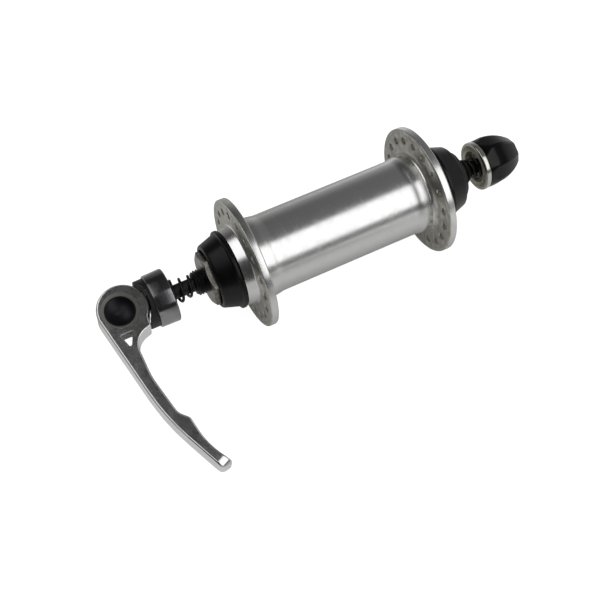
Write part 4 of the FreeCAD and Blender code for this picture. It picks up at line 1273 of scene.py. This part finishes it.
@dataclass
class Studio:
    """Floor, world, lamps and camera."""

    floor: float = -23.4
    floor_half: float = 900.0
    focal: float = 63.905
    axis: tuple[float, float, float] = (0.89164, -0.38674, 0.23538)
    cam_axis: tuple[float, float, float] = (0.10147, -0.33596, -0.9364)
    centre: tuple[float, float, float] = (12.044, -26.226, 374.3)
    tilt: float = 17.7
    glow_half: float = 200.0
    # The glow is low from X = -14 to 130 mm within 45 mm of Y = 0: a painted shadow of the hub,
    # seen only in reflections.
    floor_glow: tuple[tuple[float, float], ...] = (
        (-165, 0.0), (-125, 0.08), (-80, 0.24), (-40, 0.26), (-14, 0.1), (20, 0.1), (130, 0.12),
        (200, 0.0),
    )
    beside_glow: float = 0.36
    rear_light: float = 0.2
    side_light: tuple[float, float] = (0.14, 0.035)
    end_light: float = 0.5
    lamps: tuple[Lamp, ...] = (
        Lamp("window_light", (-0.633, -0.36, 0.682), 1000, (1060, 545), 2.3),
        Lamp("top_light", (0.167, 0.265, 0.95), 3000, (3600, 1350), 19.7),
    )

    def build(self) -> None:
        """Makes the floor, the light and the camera, and sets the colour view."""
        self._floor()
        self._world()
        for lamp in self.lamps:
            lamp.build()
        self._camera()
        bpy.context.scene.view_settings.view_transform = "Standard"

    def _camera(self) -> None:
        """Camera at the photograph's place.

        The camera's own axes are right, down and forward. The part's +Y axis in them is the
        axle's way to the lever, and +X and +Z follow from the cam's axis and the lever's tilt.
        """
        along = unit(self.axis)
        up = unit(np.array(self.cam_axis) - np.array(self.cam_axis) @ along * along)
        reach = np.cross(along, up)
        lean = math.radians(self.tilt)
        part_x = -math.sin(lean) * up - math.cos(lean) * reach
        part_z = math.cos(lean) * up - math.sin(lean) * reach
        turn = np.stack([part_x, -along, part_z])
        place = -turn @ np.array(self.centre) * MM
        right, down, ahead = turn.T
        data = bpy.data.cameras.new("camera")
        data.lens = self.focal
        data.sensor_width = 36.0
        data.clip_start = 0.01
        camera = placed("camera", data)
        camera.matrix_world = pose((right, -down, -ahead), place)
        bpy.context.scene.camera = camera
        log.info("camera at %s", np.round(place, 4).tolist())

    def _floor(self) -> None:
        """Plain white table, which shows itself pure white and keeps the shadow.

        What the object mirrors of it glows in bands along X, and more beyond the hub's ends; the
        low glow under the hub is a painted shadow of the hub.
        """
        mesh = bpy.data.meshes.new("table")
        reach = np.linspace(-self.floor_half, self.floor_half, 7) * MM
        x, y = np.meshgrid(reach, reach, indexing="ij")
        points = np.stack([x, y, np.full_like(x, self.floor * MM - 2e-5)], -1).reshape(-1, 3)
        mesh.from_pydata(points.tolist(), [], grid_faces(7, 7, False, False).tolist())
        material = bpy.data.materials.new("white_table")
        material.use_nodes = True
        nodes = Nodes(material.node_tree)
        nodes.tree.nodes.remove(nodes.tree.nodes["Principled BSDF"])
        across, along, _ = nodes.parts("Object")
        half = self.glow_half
        # The low bands under the hub are a painted shadow that only reflections show.
        bands = nodes.ramp(nodes.carried(across, (-half * MM, half * MM), (0.0, 1.0)),
                           [(0.5 + station / (2 * half), (glow,) * 3)
                            for station, glow in self.floor_glow])
        beside = nodes.carried(nodes.maths("ABSOLUTE", along), (0.045, 0.062),
                               (0.0, self.beside_glow))
        seen = self._paper(nodes, (0.8, 0.8, 0.8), 0.92)
        mirrored_floor = self._paper(nodes, (0.66, 0.66, 0.64), 1.0,
                                     nodes.maths("MAXIMUM", beside, bands))
        nodes.end("Material Output", seen, mirrored_floor)
        mesh.materials.append(material)
        placed("table", mesh)

    @staticmethod
    def _paper(nodes: Nodes, colour: tuple[float, float, float], glow: float,
               pattern: bpy.types.NodeSocket | None = None) -> bpy.types.NodeSocket:
        """Paper that glows by itself and also takes shadow.

        Args:
            nodes: the material's nodes.
            colour: the paper's own colour.
            glow: the light's strength.
            pattern: how the light varies over the paper, if it does.

        Returns:
            The shader.
        """
        paper = nodes.add("BsdfDiffuse", {"Color": (*colour, 1)})
        light = nodes.add("Emission", {"Strength": glow})
        if pattern:
            nodes.feed(light, {"Color": pattern})
        return nodes.add("AddShader", {0: paper.outputs[0], 1: light.outputs[0]}).outputs[0]

    def _world(self) -> None:
        """White to the camera; else a dim room, light at the nut's end and low at the back."""
        world = bpy.data.worlds.new("studio")
        bpy.context.scene.world = world
        world.use_nodes = True
        nodes = Nodes(world.node_tree)
        room = nodes.tree.nodes["Background"]
        white = nodes.add("Background", {"Color": (1, 1, 1, 1)})
        x, y, z = nodes.parts("Generated")
        low = nodes.carried(z, (0.05, 0.5), (1.0, 0.0))
        rear = nodes.carried(x, (-0.1, 0.2), (0.0, 1.0))
        side = nodes.carried(y, (-0.32, -0.16), self.side_light)
        end = nodes.carried(y, (-0.9, -0.78), (self.end_light, 0.0))
        level = nodes.maths("MULTIPLY_ADD", nodes.maths("MULTIPLY", low, rear), self.rear_light,
                            nodes.maths("ADD", side, end))
        nodes.feed(room, {"Color": level})
        nodes.end("World Output", white.outputs[0], room.outputs[0])


def main() -> None:
    """Builds every piece in order, then the studio."""
    logging.basicConfig(level=logging.INFO, format="%(message)s")
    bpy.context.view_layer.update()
    HubShell().build()
    AxleGroup().build()
    Skewer().build()
    InnerPieces().dress()
    Studio().build()


if __name__ == "__main__":
    main()
